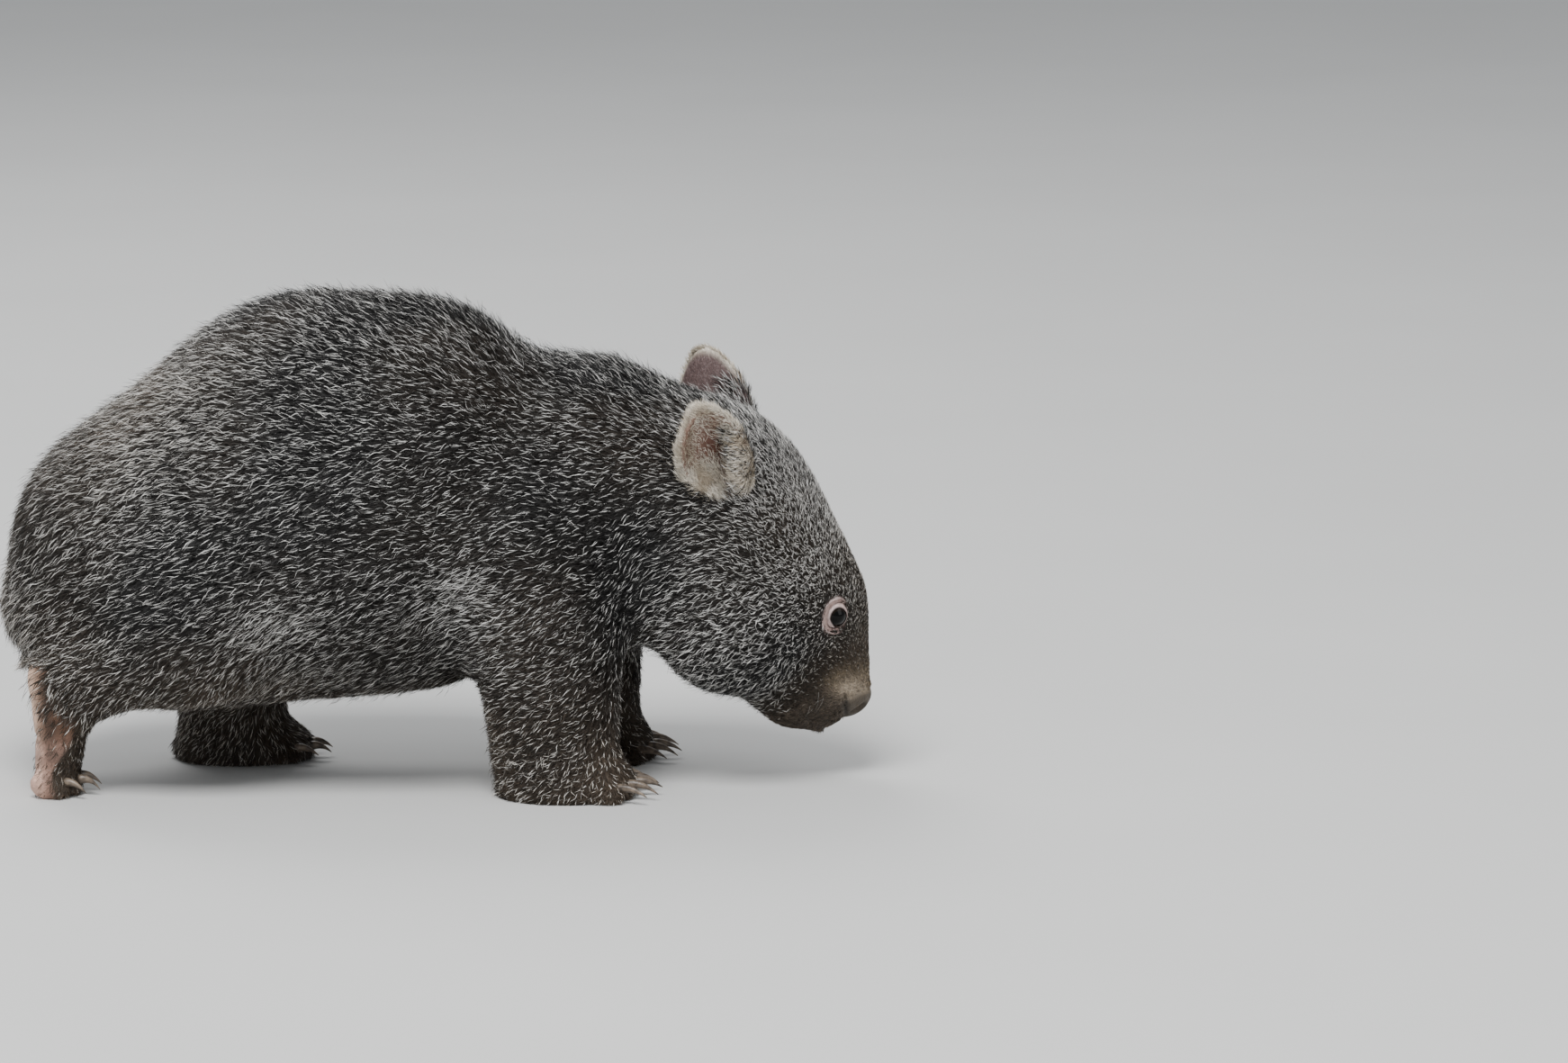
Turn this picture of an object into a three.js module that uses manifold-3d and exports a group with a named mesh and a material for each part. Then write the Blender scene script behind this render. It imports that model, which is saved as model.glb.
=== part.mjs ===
// A young common wombat, walking with its head down to graze, as a still life-size model.
// Millimetres. +X is towards the nose, +Y is the animal's left, +Z is up, and the floor is at Z = 0.
// The solids' surface lies at the tips of the coat. The origin is under the middle of the whole.
import * as THREE from "three";
import { mergeVertices } from "three/addons/utils/BufferGeometryUtils.js";
import Module from "manifold-3d";

const wasm = await Module();
wasm.setup();

// Driving sizes
const GAP = 0.3; // kept between neighbouring pieces
const FAR = 900; // longer than the animal, for cutting blocks
const BACK_HEIGHT = 356; // top of the arched loin
const BODY_HALF_WIDTH = 112;
const LOIN_X = -80;
const RUMP_X = -184;
const RIBS_X = -5;
const WITHERS_X = 105;
const FORELEG_RIGHT_X = 84;
const FORELEG_LEFT_X = 96;
const FORELEG_Y = 68;
const HINDLEG_LEFT_X = -153;
const HINDLEG_Y = 66;
const HEAD_AT = new THREE.Vector3(215, -3, 165);
const HEAD_NOSE_DOWN = 52; // degrees
const HEAD_ROLL = 6.5; // degrees, the right side lower
const EYE_X = 74; // along the head, towards the nose
const EYE_Z = 34; // above the head's middle line
const EYE_RADIUS = 8.5;
const EYE_SUNK = 6; // from the head's surface in to the eye's centre

// Cell sizes of the meshes, from the broadest form to the finest
const TORSO_CELL = 18;
const LEG_CELL = 16;
const HEAD_CELL = 11.4;

const degrees = THREE.MathUtils.degToRad;
const point = (x, y, z) => new THREE.Vector3(x, y, z);

// The signed-distance field

// A blended mass: dist gives its distance from a point, blend is how wide it melts into its neighbours.
const mass = (dist, blend) => ({ dist, blend });

// An ellipsoid with its centre at c and half-axes r, turned nose-down by pitch degrees.
function ellipsoid(c, r, blend, pitch = 0) {
  const cos = Math.cos(degrees(pitch));
  const sin = Math.sin(degrees(pitch));
  return mass((x, y, z) => {
    const dx = x - c[0];
    const dz = z - c[2];
    const u = (dx * cos - dz * sin) / r[0];
    const v = (y - c[1]) / r[1];
    const w = (dx * sin + dz * cos) / r[2];
    const k0 = Math.hypot(u, v, w);
    const k1 = Math.hypot(u / r[0], v / r[1], w / r[2]);
    return k1 < 1e-9 ? -Math.min(...r) : (k0 * (k0 - 1)) / k1;
  }, blend);
}

// A tapered limb from a to b with end radii ra and rb, and its width across Y scaled by wide.
function limb(a, b, ra, rb, blend, wide = 1) {
  const axis = [b[0] - a[0], (b[1] - a[1]) / wide, b[2] - a[2]];
  const length2 = axis[0] ** 2 + axis[1] ** 2 + axis[2] ** 2;
  return mass((x, y, z) => {
    const p = [x - a[0], (y - a[1]) / wide, z - a[2]];
    const along = (p[0] * axis[0] + p[1] * axis[1] + p[2] * axis[2]) / length2;
    const t = Math.min(1, Math.max(0, along));
    const off = Math.hypot(p[0] - axis[0] * t, p[1] - axis[1] * t, p[2] - axis[2] * t);
    return (off - (ra + (rb - ra) * t)) * Math.min(1, wide);
  }, blend);
}

// A mass and its mirror image across the middle plane.
const paired = (make) => [make(1), make(-1)];

// The smooth union of masses at a point.
function blended(masses, x, y, z) {
  let d = Infinity;
  for (const m of masses) {
    const e = m.dist(x, y, z);
    const h = Math.max(m.blend - Math.abs(d - e), 0) / m.blend;
    d = Math.min(d, e) - (d === Infinity ? 0 : (h * h * m.blend) / 4);
  }
  return d;
}

const headFrame = new THREE.Matrix4()
  .makeTranslation(HEAD_AT.x, HEAD_AT.y, HEAD_AT.z)
  .multiply(new THREE.Matrix4().makeRotationX(degrees(HEAD_ROLL)))
  .multiply(new THREE.Matrix4().makeRotationY(degrees(HEAD_NOSE_DOWN)));
const intoHead = headFrame.clone().invert();

function torsoMasses() {
  const w = BODY_HALF_WIDTH;
  return [
    ellipsoid([LOIN_X, 0, BACK_HEIGHT - 148], [146, w, 146], 30),
    ellipsoid([RUMP_X, 0, 163], [123, 104, 114], 44),
    ellipsoid([-268, 0, 126], [45, 70, 38], 22),
    ellipsoid([RIBS_X, 0, BACK_HEIGHT - 146], [106, 103, 136], 30),
    ellipsoid([WITHERS_X, 0, 208], [88, 80, 99], 32),
    ellipsoid([-55, 0, 160], [150, w + 2, 88], 30),
    ellipsoid([88, 0, 152], [76, 84, 70], 24),
    limb([WITHERS_X + 5, 0, 208], [186, 0, 193], 88, 76, 24),
  ];
}

// A foreleg's shoulder, forearm and foot, at x along the body and y across it.
function forelegMasses(x, y) {
  return [
    ellipsoid([x - 8, y, 165], [60, 42, 80], 24),
    limb([x - 2, y, 108], [x, y, 34], 54, 47, 22, 0.74),
    ellipsoid([x + 12, y, 12], [48, 36, 25], 10),
  ];
}

function hindlegMasses() {
  const y = HINDLEG_Y;
  const x = HINDLEG_LEFT_X;
  return [
    // the right leg, pushed back, standing on its toes
    ellipsoid([-168, -y - 4, 144], [76, 50, 78], 14),
    limb([-176, -y, 108], [-240, -y + 2, 84], 37, 30, 18),
    limb([-262, -y + 4, 86], [-267, -y + 6, 14], 28, 16, 12, 1.2),
    // the left leg, under the body
    ellipsoid([x - 8, y + 4, 140], [76, 50, 84], 14),
    limb([x, y, 95], [x - 2, y, 30], 46, 39, 20, 0.86),
    ellipsoid([x + 8, y, 12], [53, 35, 25], 10),
  ];
}

function headMasses() {
  return [
    ellipsoid([-28, 0, 8], [96, 72, 66], 20),
    ellipsoid([26, 0, 14], [74, 56, 50], 20),
    limb([58, 0, 14], [110, 0, -8], 38, 28, 16, 1.05),
    ellipsoid([96, 0, -15], [49, 35, 40], 12),
    limb([20, 0, -40], [100, 0, -31], 45, 31, 18, 1.05),
    ...paired((s) => ellipsoid([24, s * 40, -24], [64, 42, 60], 18)),
  ];
}

const worldMasses = [
  ...torsoMasses(),
  ...forelegMasses(FORELEG_RIGHT_X, -FORELEG_Y),
  ...forelegMasses(FORELEG_LEFT_X, FORELEG_Y),
  ...hindlegMasses(),
];
const skullMasses = headMasses();
const HEAD_BLEND = 26;

// The distance to the whole animal's surface.
function animal(x, y, z) {
  const d = blended(worldMasses, x, y, z);
  if (x < 60) return d;
  const p = point(x, y, z).applyMatrix4(intoHead);
  const e = blended(skullMasses, p.x, p.y, p.z);
  const h = Math.max(HEAD_BLEND - Math.abs(d - e), 0) / HEAD_BLEND;
  return Math.min(d, e) - (h * h * HEAD_BLEND) / 4;
}

// From the field to closed meshes

// One vertex in each cell that the surface crosses, and a quad round each grid edge that it crosses.
function surfaceNet(field, low, high, cell) {
  const n = [0, 1, 2].map((k) => Math.ceil((high[k] - low[k]) / cell) + 1);
  const at = (i, j, k) => (k * n[1] + j) * n[0] + i;
  const place = (i, k) => low[k] + i * cell;
  const values = new Float64Array(n[0] * n[1] * n[2]);
  for (let k = 0; k < n[2]; k++)
    for (let j = 0; j < n[1]; j++)
      for (let i = 0; i < n[0]; i++) {
        const rim = [i, j, k].some((v, q) => v === 0 || v === n[q] - 1);
        values[at(i, j, k)] = rim ? cell / 2 : field(place(i, 0), place(j, 1), place(k, 2));
      }
  const vertexOf = new Map();
  const positions = [];
  const corners = [0, 1, 2, 3, 4, 5, 6, 7].map((c) => [c & 1, (c >> 1) & 1, (c >> 2) & 1]);
  const edges = [];
  for (let a = 0; a < 8; a++) for (const bit of [1, 2, 4]) if (!(a & bit)) edges.push([a, a | bit]);

  function vertex(i, j, k) {
    const key = at(i, j, k);
    if (vertexOf.has(key)) return vertexOf.get(key);
    const sum = [0, 0, 0];
    let count = 0;
    for (const [a, b] of edges) {
      const [ca, cb] = [corners[a], corners[b]];
      const va = values[at(i + ca[0], j + ca[1], k + ca[2])];
      const vb = values[at(i + cb[0], j + cb[1], k + cb[2])];
      if (va < 0 === vb < 0) continue;
      const t = va / (va - vb);
      for (let q = 0; q < 3; q++) sum[q] += ca[q] + (cb[q] - ca[q]) * t;
      count++;
    }
    const corner = [i, j, k].map(place);
    const p = corner.map((v, q) => v + (sum[q] / count) * cell);
    positions.push(...settled(field, p, corner, cell));
    vertexOf.set(key, positions.length / 3 - 1);
    return positions.length / 3 - 1;
  }

  const triangles = [];
  const step = [at(1, 0, 0), at(0, 1, 0), at(0, 0, 1)];
  for (let k = 0; k < n[2] - 1; k++)
    for (let j = 0; j < n[1] - 1; j++)
      for (let i = 0; i < n[0] - 1; i++)
        for (let axis = 0; axis < 3; axis++) {
          const here = values[at(i, j, k)] < 0;
          if (here === values[at(i, j, k) + step[axis]] < 0) continue;
          const c = [i, j, k];
          const [p, q] = [(axis + 1) % 3, (axis + 2) % 3];
          const round = [[0, 0], [1, 0], [1, 1], [0, 1]].map(([dp, dq]) => {
            const d = [...c];
            d[p] -= dp;
            d[q] -= dq;
            return vertex(...d);
          });
          const [a, b, e, f] = here ? round : round.reverse();
          triangles.push(...halves(positions, a, b, e, f));
        }
  return { positions: new Float32Array(positions), triangles: new Uint32Array(triangles) };
}

// A quad as two triangles, split along its shorter diagonal.
function halves(positions, a, b, c, d) {
  const far = (i, j) =>
    Math.hypot(...[0, 1, 2].map((q) => positions[3 * i + q] - positions[3 * j + q]));
  return far(a, c) < far(b, d) ? [a, b, c, a, c, d] : [a, b, d, b, c, d];
}

// A point moved on to the surface, but kept inside its own cell so that the net can't fold.
function settled(field, p, corner, cell) {
  const h = 0.5;
  let out = p;
  for (let turn = 0; turn < 2; turn++) {
    const d = field(...out);
    const slope = [0, 1, 2].map((q) => {
      const shifted = [...out];
      shifted[q] += h;
      return (field(...shifted) - d) / h;
    });
    const steep = Math.max(0.3, Math.hypot(...slope));
    out = out.map((v, q) => {
      const next = v - (d * slope[q]) / (steep * steep);
      return THREE.MathUtils.clamp(next, corner[q] + 0.06 * cell, corner[q] + 0.94 * cell);
    });
  }
  return out;
}

// Solids

function solidFrom(positions, triangles) {
  return new wasm.Manifold(
    new wasm.Mesh({ numProp: 3, vertProperties: positions, triVerts: triangles }),
  );
}

// A three.js geometry, placed by a matrix, as a solid.
function solidOf(geometry, matrix = new THREE.Matrix4()) {
  const bare = geometry.clone().applyMatrix4(matrix);
  bare.deleteAttribute("normal");
  bare.deleteAttribute("uv");
  const merged = mergeVertices(bare, 1e-3);
  return solidFrom(
    new Float32Array(merged.attributes.position.array),
    new Uint32Array(merged.index.array),
  );
}

const placed = (at, turn = [0, 0, 0], size = [1, 1, 1]) =>
  new THREE.Matrix4().compose(
    point(...at),
    new THREE.Quaternion().setFromEuler(new THREE.Euler(...turn.map(degrees), "XYZ")),
    point(...size),
  );

const inHead = (matrix) => headFrame.clone().multiply(matrix);

// A ball stretched to half-axes r.
const ball = (r, across = 16, around = 10, matrix = new THREE.Matrix4()) =>
  solidOf(
    new THREE.SphereGeometry(1, across, around),
    matrix.clone().multiply(new THREE.Matrix4().makeScale(...r)),
  );

// Everything on the side of a plane that its normal points to, starting shift past the plane.
function beyond(at, normal, shift = 0) {
  const n = point(...normal).normalize();
  const turn = new THREE.Quaternion().setFromUnitVectors(point(0, 0, 1), n);
  const centre = point(...at).addScaledVector(n, shift + FAR / 2);
  const block = new THREE.BoxGeometry(FAR, FAR, FAR);
  return solidOf(block, new THREE.Matrix4().compose(centre, turn, point(1, 1, 1)));
}

const opposite = (normal) => normal.map((v) => -v);

// The largest closed body of a solid.
function largest(solid) {
  const bodies = solid.decompose();
  return bodies.reduce((a, b) => (a.volume() > b.volume() ? a : b));
}

const net = (low, high, cell, field = animal) => {
  const made = surfaceNet(field, low, high, cell);
  return solidFrom(made.positions, made.triangles);
};

// The cuts: each plane's point and its normal

const HEAD_CUT = { at: [158, 0, 190], normal: [1, 0, 0.12] };
const NECK_CUT = { at: [124, 0, 200], normal: [1, 0, 0.2] };
const BELLY_CUT = { at: [18, 0, 200], normal: [1, 0, 0.06] };
const RUMP_CUT = { at: [-150, 0, 200], normal: [1, 0, -0.25] };

// A leg's block: on its own side and outside a steep inner plane, under an arch over the shoulder or haunch.
function legBlock(side, shape, shift) {
  const { x, arch, half, inner, slope } = shape;
  const up = [0, -side * Math.sin(degrees(slope)), Math.cos(degrees(slope))];
  const [wide, high] = half.map((v) => v - shift);
  const drum = new THREE.CylinderGeometry(1, 1, FAR, 26);
  const top = solidOf(drum, placed([x, 0, arch], [0, 0, 0], [wide, 1, high]));
  const post = new THREE.BoxGeometry(wide * 2, FAR, FAR);
  return top
    .add(solidOf(post, placed([x, 0, arch - FAR / 2])))
    .intersect(beyond([0, side * inner[0], inner[1]], opposite(up), shift))
    .intersect(beyond([0, 0, 0], [0, side, 0], 1));
}

const foreShape = (x) => ({ x: x + 2, arch: 84, half: [72, 92], inner: [24, 76], slope: 62 });
const HIND_SHAPE = { x: -189, arch: 93, half: [109, 104], inner: [22, 80], slope: 61 };
const LEG_BLOCKS = [
  ["fore", "right", -1, foreShape(FORELEG_RIGHT_X)],
  ["fore", "left", 1, foreShape(FORELEG_LEFT_X)],
  ["hind", "right", -1, HIND_SHAPE],
  ["hind", "left", 1, HIND_SHAPE],
];

// The feet

// Where each foot is cut from its leg, and where its toes grow: at is the toes' middle at floor level.
const FEET = {
  fore_right: {
    cut: { at: [FORELEG_RIGHT_X, 0, 34], normal: [-0.35, 0, 1] },
    at: [FORELEG_RIGHT_X + 50, -FORELEG_Y, 0],
    toes: 5,
    spread: 13.5,
    fan: 9,
    claw: 21,
  },
  fore_left: {
    cut: { at: [FORELEG_LEFT_X, 0, 34], normal: [-0.35, 0, 1] },
    at: [FORELEG_LEFT_X + 50, FORELEG_Y, 0],
    toes: 5,
    spread: 13.5,
    fan: 9,
    claw: 21,
  },
  hind_right: {
    cut: { at: [-244, 0, 62], normal: [0.86, 0, 0.5] },
    at: [-258, -HINDLEG_Y + 6, 0],
    toes: 4,
    spread: 11.5,
    fan: 7,
    claw: 15,
  },
  hind_left: {
    cut: { at: [HINDLEG_LEFT_X, 0, 32], normal: [-0.3, 0, 1] },
    at: [HINDLEG_LEFT_X + 50, HINDLEG_Y, 0],
    toes: 4,
    spread: 12.5,
    fan: 7,
    claw: 17,
  },
};
const TOE = [17, 7.6, 11]; // half-axes

// The place and outward turn of one toe of a foot, counted from the middle.
function toePlace(foot, i) {
  const off = i - (foot.toes - 1) / 2;
  const bend = Math.abs(off) / ((foot.toes - 1) / 2);
  return {
    x: foot.at[0] - 9 * bend * bend,
    y: foot.at[1] + off * foot.spread,
    turn: off * foot.fan,
  };
}

function toe(foot, i) {
  const p = toePlace(foot, i);
  return ball(TOE, 8, 6, placed([p.x - 6, p.y, 9], [0, 8, p.turn]));
}

// A claw: an arched, tapering horn that starts sunk in its toe.
function claw(foot, i) {
  const p = toePlace(foot, i);
  const length = foot.claw;
  const rings = 4;
  const sides = 5;
  const positions = [];
  for (let r = 0; r < rings; r++) {
    const t = r / (rings - 1);
    const centre = [6 + length * t, 0, 9.5 + 2.4 * Math.sin(Math.PI * t * 0.8) - 7.2 * t * t];
    const half = 3.8 * (1 - 0.68 * t);
    for (let s = 0; s < sides; s++) {
      const a = (s / sides) * 2 * Math.PI;
      positions.push(centre[0], half * Math.cos(a), centre[2] + half * 1.15 * Math.sin(a));
    }
  }
  const triangles = tubeFaces(rings, sides);
  const solid = solidFrom(new Float32Array(positions), new Uint32Array(triangles));
  return moved(solid, placed([p.x, p.y, 0], [0, 0, p.turn]));
}

// The faces of a closed tube of rings, each of the same number of sides, wound round +X.
function tubeFaces(rings, sides) {
  const faces = [];
  for (let r = 0; r < rings - 1; r++)
    for (let s = 0; s < sides; s++) {
      const [a, b] = [r * sides + s, r * sides + ((s + 1) % sides)];
      faces.push(a, b, a + sides, b, b + sides, a + sides);
    }
  const last = (rings - 1) * sides;
  for (let s = 1; s < sides - 1; s++) faces.push(0, s + 1, s, last, last + s, last + s + 1);
  return faces;
}

function moved(solid, matrix) {
  return solid.transform(matrix.elements);
}

// The tail: a stub half sunk in the rump, pointing back and down.
const tail = (grow = 0) =>
  ball([13 + grow, 12 + grow, 22 + grow], 12, 8, placed([-299, 0, 140], [0, 38, 0]));

// The head's forms

// How far the head's surface lies from a point inside it, along a unit direction of the head's frame.
function reach(from, direction) {
  let [near, far] = [0, 160];
  for (let turn = 0; turn < 24; turn++) {
    const middle = (near + far) / 2;
    const p = point(...from).addScaledVector(point(...direction), middle).applyMatrix4(headFrame);
    if (animal(p.x, p.y, p.z) < 0) near = middle;
    else far = middle;
  }
  return near;
}

// The way the head's surface faces at a point of it, in the head's frame.
function slopeAt(at) {
  const step = 2;
  const value = (p) => animal(...p.applyMatrix4(headFrame).toArray());
  const along = (axis, h) => value(point(...at).setComponent(axis, at[axis] + h));
  return [0, 1, 2].map((axis) => along(axis, step) - along(axis, -step));
}

// A frame at a point: its X runs along out, and its Z as near to up as that allows.
function facing(at, out, up) {
  const x = point(...out).normalize();
  const y = point(...up).cross(x).normalize();
  return new THREE.Matrix4().makeBasis(x, y, x.clone().cross(y)).setPosition(...at);
}

function eyePlace(s) {
  const side = reach([EYE_X, 0, EYE_Z], [0, s, 0]);
  const at = [EYE_X, s * side, EYE_Z];
  return facing(at, slopeAt(at), [0, 0, 1]).multiply(placed([-EYE_SUNK, 0, 0]));
}

const eyeBall = (s, grow = 0) =>
  ball(Array(3).fill(EYE_RADIUS + grow), 14, 8, inHead(eyePlace(s)));

// A ring of lid round the eye, as a stretched torus that lies on the face.
function lid(s) {
  const ring = new THREE.TorusGeometry(EYE_RADIUS + 0.4, 3.2, 5, 12);
  const lean = placed([EYE_SUNK - 1.2, 0, 0], [0, 90, 0], [1.1, 1, 0.9]);
  return solidOf(ring, inHead(eyePlace(s)).multiply(lean));
}

// The ear: a flattened leaf that stands on the side of the crown, hollowed into a cup.
const EAR = {
  at: [-79, 63, 40],
  out: [0.34, 0.93, 0.1],
  up: [-0.93, 0, 0.34],
  half: [14, 27, 47], // through, across and along the leaf
  wall: 4.5,
  fold: { at: [5, 16.5, -12], half: [7, 8, 25], lean: 14 }, // where the front edge rolls over the cup
};

function earFrame(s) {
  return inHead(facing(...[EAR.at, EAR.out, EAR.up].map(([x, y, z]) => [x, s * y, z])));
}

const earLeaf = (s, grow = 0) => ball(EAR.half.map((v) => v + grow), 14, 9, earFrame(s));

function ear(s) {
  const [through, across, along] = EAR.half;
  const cup = [through, across - EAR.wall, along - EAR.wall];
  const hollow = ball(cup, 12, 8, earFrame(s).multiply(placed([EAR.wall + 4, 0, 1])));
  return earLeaf(s).subtract(hollow).add(earFold(s));
}

function earFold(s, grow = 0) {
  const { at, half, lean } = EAR.fold;
  const place = placed([at[0], -s * at[1], at[2]], [s * lean, 0, 0]);
  return ball(half.map((v) => v + grow), 7, 6, earFrame(s).multiply(place));
}

// Where the lips meet: a curve on the head, round under the nose and sinking in at both corners.
const MOUTH = { centre: [92, 0, -31], sweep: 92, fall: 0.12, steps: 6, lip: 4, line: 1.5 };

function mouthCurve(proud) {
  const points = [];
  for (let i = -MOUTH.steps; i <= MOUTH.steps; i++) {
    const share = i / MOUTH.steps;
    const a = degrees(MOUTH.sweep * share);
    const out = point(Math.cos(a), Math.sin(a), -MOUTH.fall * share * share).normalize();
    const far = reach(MOUTH.centre, out.toArray()) - MOUTH.lip * (0.4 + share ** 4);
    points.push(point(...MOUTH.centre).addScaledVector(out, far + proud));
  }
  return new THREE.CatmullRomCurve3(points);
}

function alongMouth(radius, drop, proud = 0) {
  const section = new THREE.Shape().absellipse(0, 0, radius, radius, 0, 2 * Math.PI);
  const made = new THREE.ExtrudeGeometry(section, {
    steps: 12,
    curveSegments: 3,
    bevelEnabled: false,
    extrudePath: mouthCurve(proud),
  });
  return solidOf(made, inHead(placed([0, 0, drop])));
}

const NOSE = { at: [130, 0, -4], half: [19, 20, 19], lean: 20 };

const nosePlace = () => inHead(placed(NOSE.at, [0, -NOSE.lean, 0]));
const noseForm = (grow = 0) => ball(NOSE.half.map((v) => v + grow), 16, 10, nosePlace());

// A nostril: a slanting slit on the front of the pad.
const nostril = (s) =>
  ball([8, 2.6, 5], 8, 5, nosePlace().multiply(placed([17, s * 10, -1], [s * 38, 0, s * 28])));

// The nodes

function build() {
  const whole = net([-340, -150, -20], [260, 150, 372], TORSO_CELL);
  const above = beyond([0, 0, 0], [0, 0, 1]);
  let trunk = whole.intersect(above);
  const nodes = {};

  for (const [end, side, s, shape] of LEG_BLOCKS) {
    const name = `${end}_${side}`;
    const x = end === "fore" ? [-20, 190] : [-340, -40];
    const y = s > 0 ? [-24, 150] : [-150, 24];
    const field = net([x[0], y[0], -38], [x[1], y[1], 260], LEG_CELL);
    const leg = field.intersect(legBlock(s, shape, GAP / 2)).intersect(above);
    trunk = trunk.subtract(legBlock(s, shape, -GAP / 2));
    const { cut } = FEET[name];
    nodes[`${end}leg_${side}`] = largest(leg.intersect(beyond(cut.at, cut.normal, GAP / 2)));
    nodes[`${end}foot_${side}`] = footNode(name, field, legBlock(s, shape, GAP / 2), cut, above);
  }

  nodes.tail = tail();
  trunk = trunk.subtract(tail(GAP));
  const slices = [
    ["rump", null, RUMP_CUT],
    ["belly", RUMP_CUT, BELLY_CUT],
    ["chest", BELLY_CUT, NECK_CUT],
    ["neck", NECK_CUT, HEAD_CUT],
  ];
  for (const [name, from, to] of slices) {
    let part = trunk.intersect(beyond(to.at, opposite(to.normal), GAP / 2));
    if (from) part = part.intersect(beyond(from.at, from.normal, GAP / 2));
    nodes[name] = largest(part);
  }

  Object.assign(nodes, headNodes());
  for (const [end, side] of LEG_BLOCKS) {
    const name = `${end}_${side}`;
    for (let i = 0; i < FEET[name].toes; i++) {
      const horn = claw(FEET[name], i);
      const seat = toe(FEET[name], i);
      const clear = horn.subtract(nodes[`${end}foot_${side}`]);
      nodes[`${end}claw_${side}_${i + 1}`] = largest(clearOf(horn, seat, clear).intersect(above));
    }
  }
  return nodes;
}

// What of a claw stands clear of its toe, with the gap that keeps them apart.
function clearOf(horn, seat, clear) {
  const pushed = moved(seat, new THREE.Matrix4().makeTranslation(GAP, 0, 0));
  return clear.subtract(pushed);
}

function footNode(name, field, block, cut, above) {
  const foot = FEET[name];
  let paw = field.intersect(block).intersect(beyond(cut.at, opposite(cut.normal), GAP / 2));
  for (let i = 0; i < foot.toes; i++) paw = paw.add(toe(foot, i));
  return largest(paw.intersect(above));
}

function headNodes() {
  const blank = net([120, -136, -20], [350, 140, 340], HEAD_CELL);
  const front = beyond(HEAD_CUT.at, HEAD_CUT.normal, GAP / 2);
  let head = blank.intersect(front).intersect(beyond([0, 0, 0], [0, 0, 1]));
  for (const [, , s, shape] of LEG_BLOCKS) head = head.subtract(legBlock(s, shape, -GAP / 2));
  head = largest(head);
  const nodes = {};
  for (const [side, s] of [["right", -1], ["left", 1]]) {
    head = head.add(lid(s)).subtract(eyeBall(s, GAP));
    nodes[`eye_${side}`] = eyeBall(s);
  }
  head = head.add(alongMouth(MOUTH.lip, 3.4)).add(alongMouth(MOUTH.lip, -3.4));
  head = head.subtract(alongMouth(MOUTH.line, 0, MOUTH.lip * 0.6));
  nodes.nose = noseForm().subtract(nostril(1)).subtract(nostril(-1));
  for (const [side, s] of [["right", -1], ["left", 1]]) {
    nodes[`ear_${side}`] = largest(ear(s));
    head = head.subtract(earLeaf(s, GAP)).subtract(earFold(s, GAP));
  }
  head = head.subtract(noseForm(GAP));
  nodes.head = largest(head);
  return nodes;
}

// The model

const MATERIALS = {
  coat: new THREE.MeshStandardMaterial({ color: 0x44413f, roughness: 0.85, metalness: 0 }),
  ear: new THREE.MeshStandardMaterial({ color: 0x7a6a5c, roughness: 0.85, metalness: 0 }),
  nose: new THREE.MeshStandardMaterial({ color: 0x4a3a32, roughness: 0.5, metalness: 0 }),
  eye: new THREE.MeshStandardMaterial({ color: 0x0b0a0a, roughness: 0.1, metalness: 0 }),
  claw: new THREE.MeshStandardMaterial({ color: 0x8a7a66, roughness: 0.45, metalness: 0 }),
};

function materialOf(name) {
  if (name.includes("claw")) return MATERIALS.claw;
  if (name.startsWith("eye")) return MATERIALS.eye;
  if (name.startsWith("ear")) return MATERIALS.ear;
  return name === "nose" ? MATERIALS.nose : MATERIALS.coat;
}

function meshOf(name, solid) {
  const { vertProperties, triVerts } = solid.getMesh();
  const geometry = new THREE.BufferGeometry()
    .setAttribute("position", new THREE.BufferAttribute(vertProperties, 3))
    .setIndex(new THREE.BufferAttribute(triVerts, 1));
  const mesh = new THREE.Mesh(geometry, materialOf(name));
  mesh.name = name;
  return mesh;
}

const wombat = new THREE.Group();
for (const [name, solid] of Object.entries(build())) wombat.add(meshOf(name, solid));

// The origin goes to the middle of the whole, at the floor.
const box = new THREE.Box3().setFromObject(wombat);
const middle = box.getCenter(point(0, 0, 0)).setZ(0);
for (const mesh of wombat.children) mesh.geometry.translate(-middle.x, -middle.y, 0);

export default wombat;
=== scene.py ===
import math

import bmesh
import bpy
import numpy as np
from mathutils import Matrix, Vector
from mathutils.bvhtree import BVHTree


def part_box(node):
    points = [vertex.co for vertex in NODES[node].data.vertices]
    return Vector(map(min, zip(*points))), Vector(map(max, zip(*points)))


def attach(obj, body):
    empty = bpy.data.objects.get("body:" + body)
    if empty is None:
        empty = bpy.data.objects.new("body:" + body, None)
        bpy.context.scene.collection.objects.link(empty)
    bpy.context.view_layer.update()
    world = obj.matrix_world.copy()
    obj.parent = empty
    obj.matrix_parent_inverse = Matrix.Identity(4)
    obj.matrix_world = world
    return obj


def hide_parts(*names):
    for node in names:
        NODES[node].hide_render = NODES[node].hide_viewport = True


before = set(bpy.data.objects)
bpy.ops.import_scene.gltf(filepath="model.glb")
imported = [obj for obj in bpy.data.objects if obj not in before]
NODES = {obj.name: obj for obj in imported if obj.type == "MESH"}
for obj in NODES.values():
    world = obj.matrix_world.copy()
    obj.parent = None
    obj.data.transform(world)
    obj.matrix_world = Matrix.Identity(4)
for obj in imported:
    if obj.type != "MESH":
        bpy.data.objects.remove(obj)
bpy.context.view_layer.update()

# A young wombat with a grizzled coat, walking with its head lowered. Metres, in the frame of the solids:
# +X is towards the nose, +Y is the animal's left, and the floor is at Z = 0.

MM = 0.001
SEED = 7
ACROSS = 1742  # the picture's width, in pixels
PIXELS_PER_MM = 1.556
SIDES = {"right": -1.0, "left": 1.0}
CLAWS = sorted(n for n in NODES if "claw" in n)
FLESH = sorted(n for n in NODES if n not in CLAWS and not n.startswith("eye"))

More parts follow.
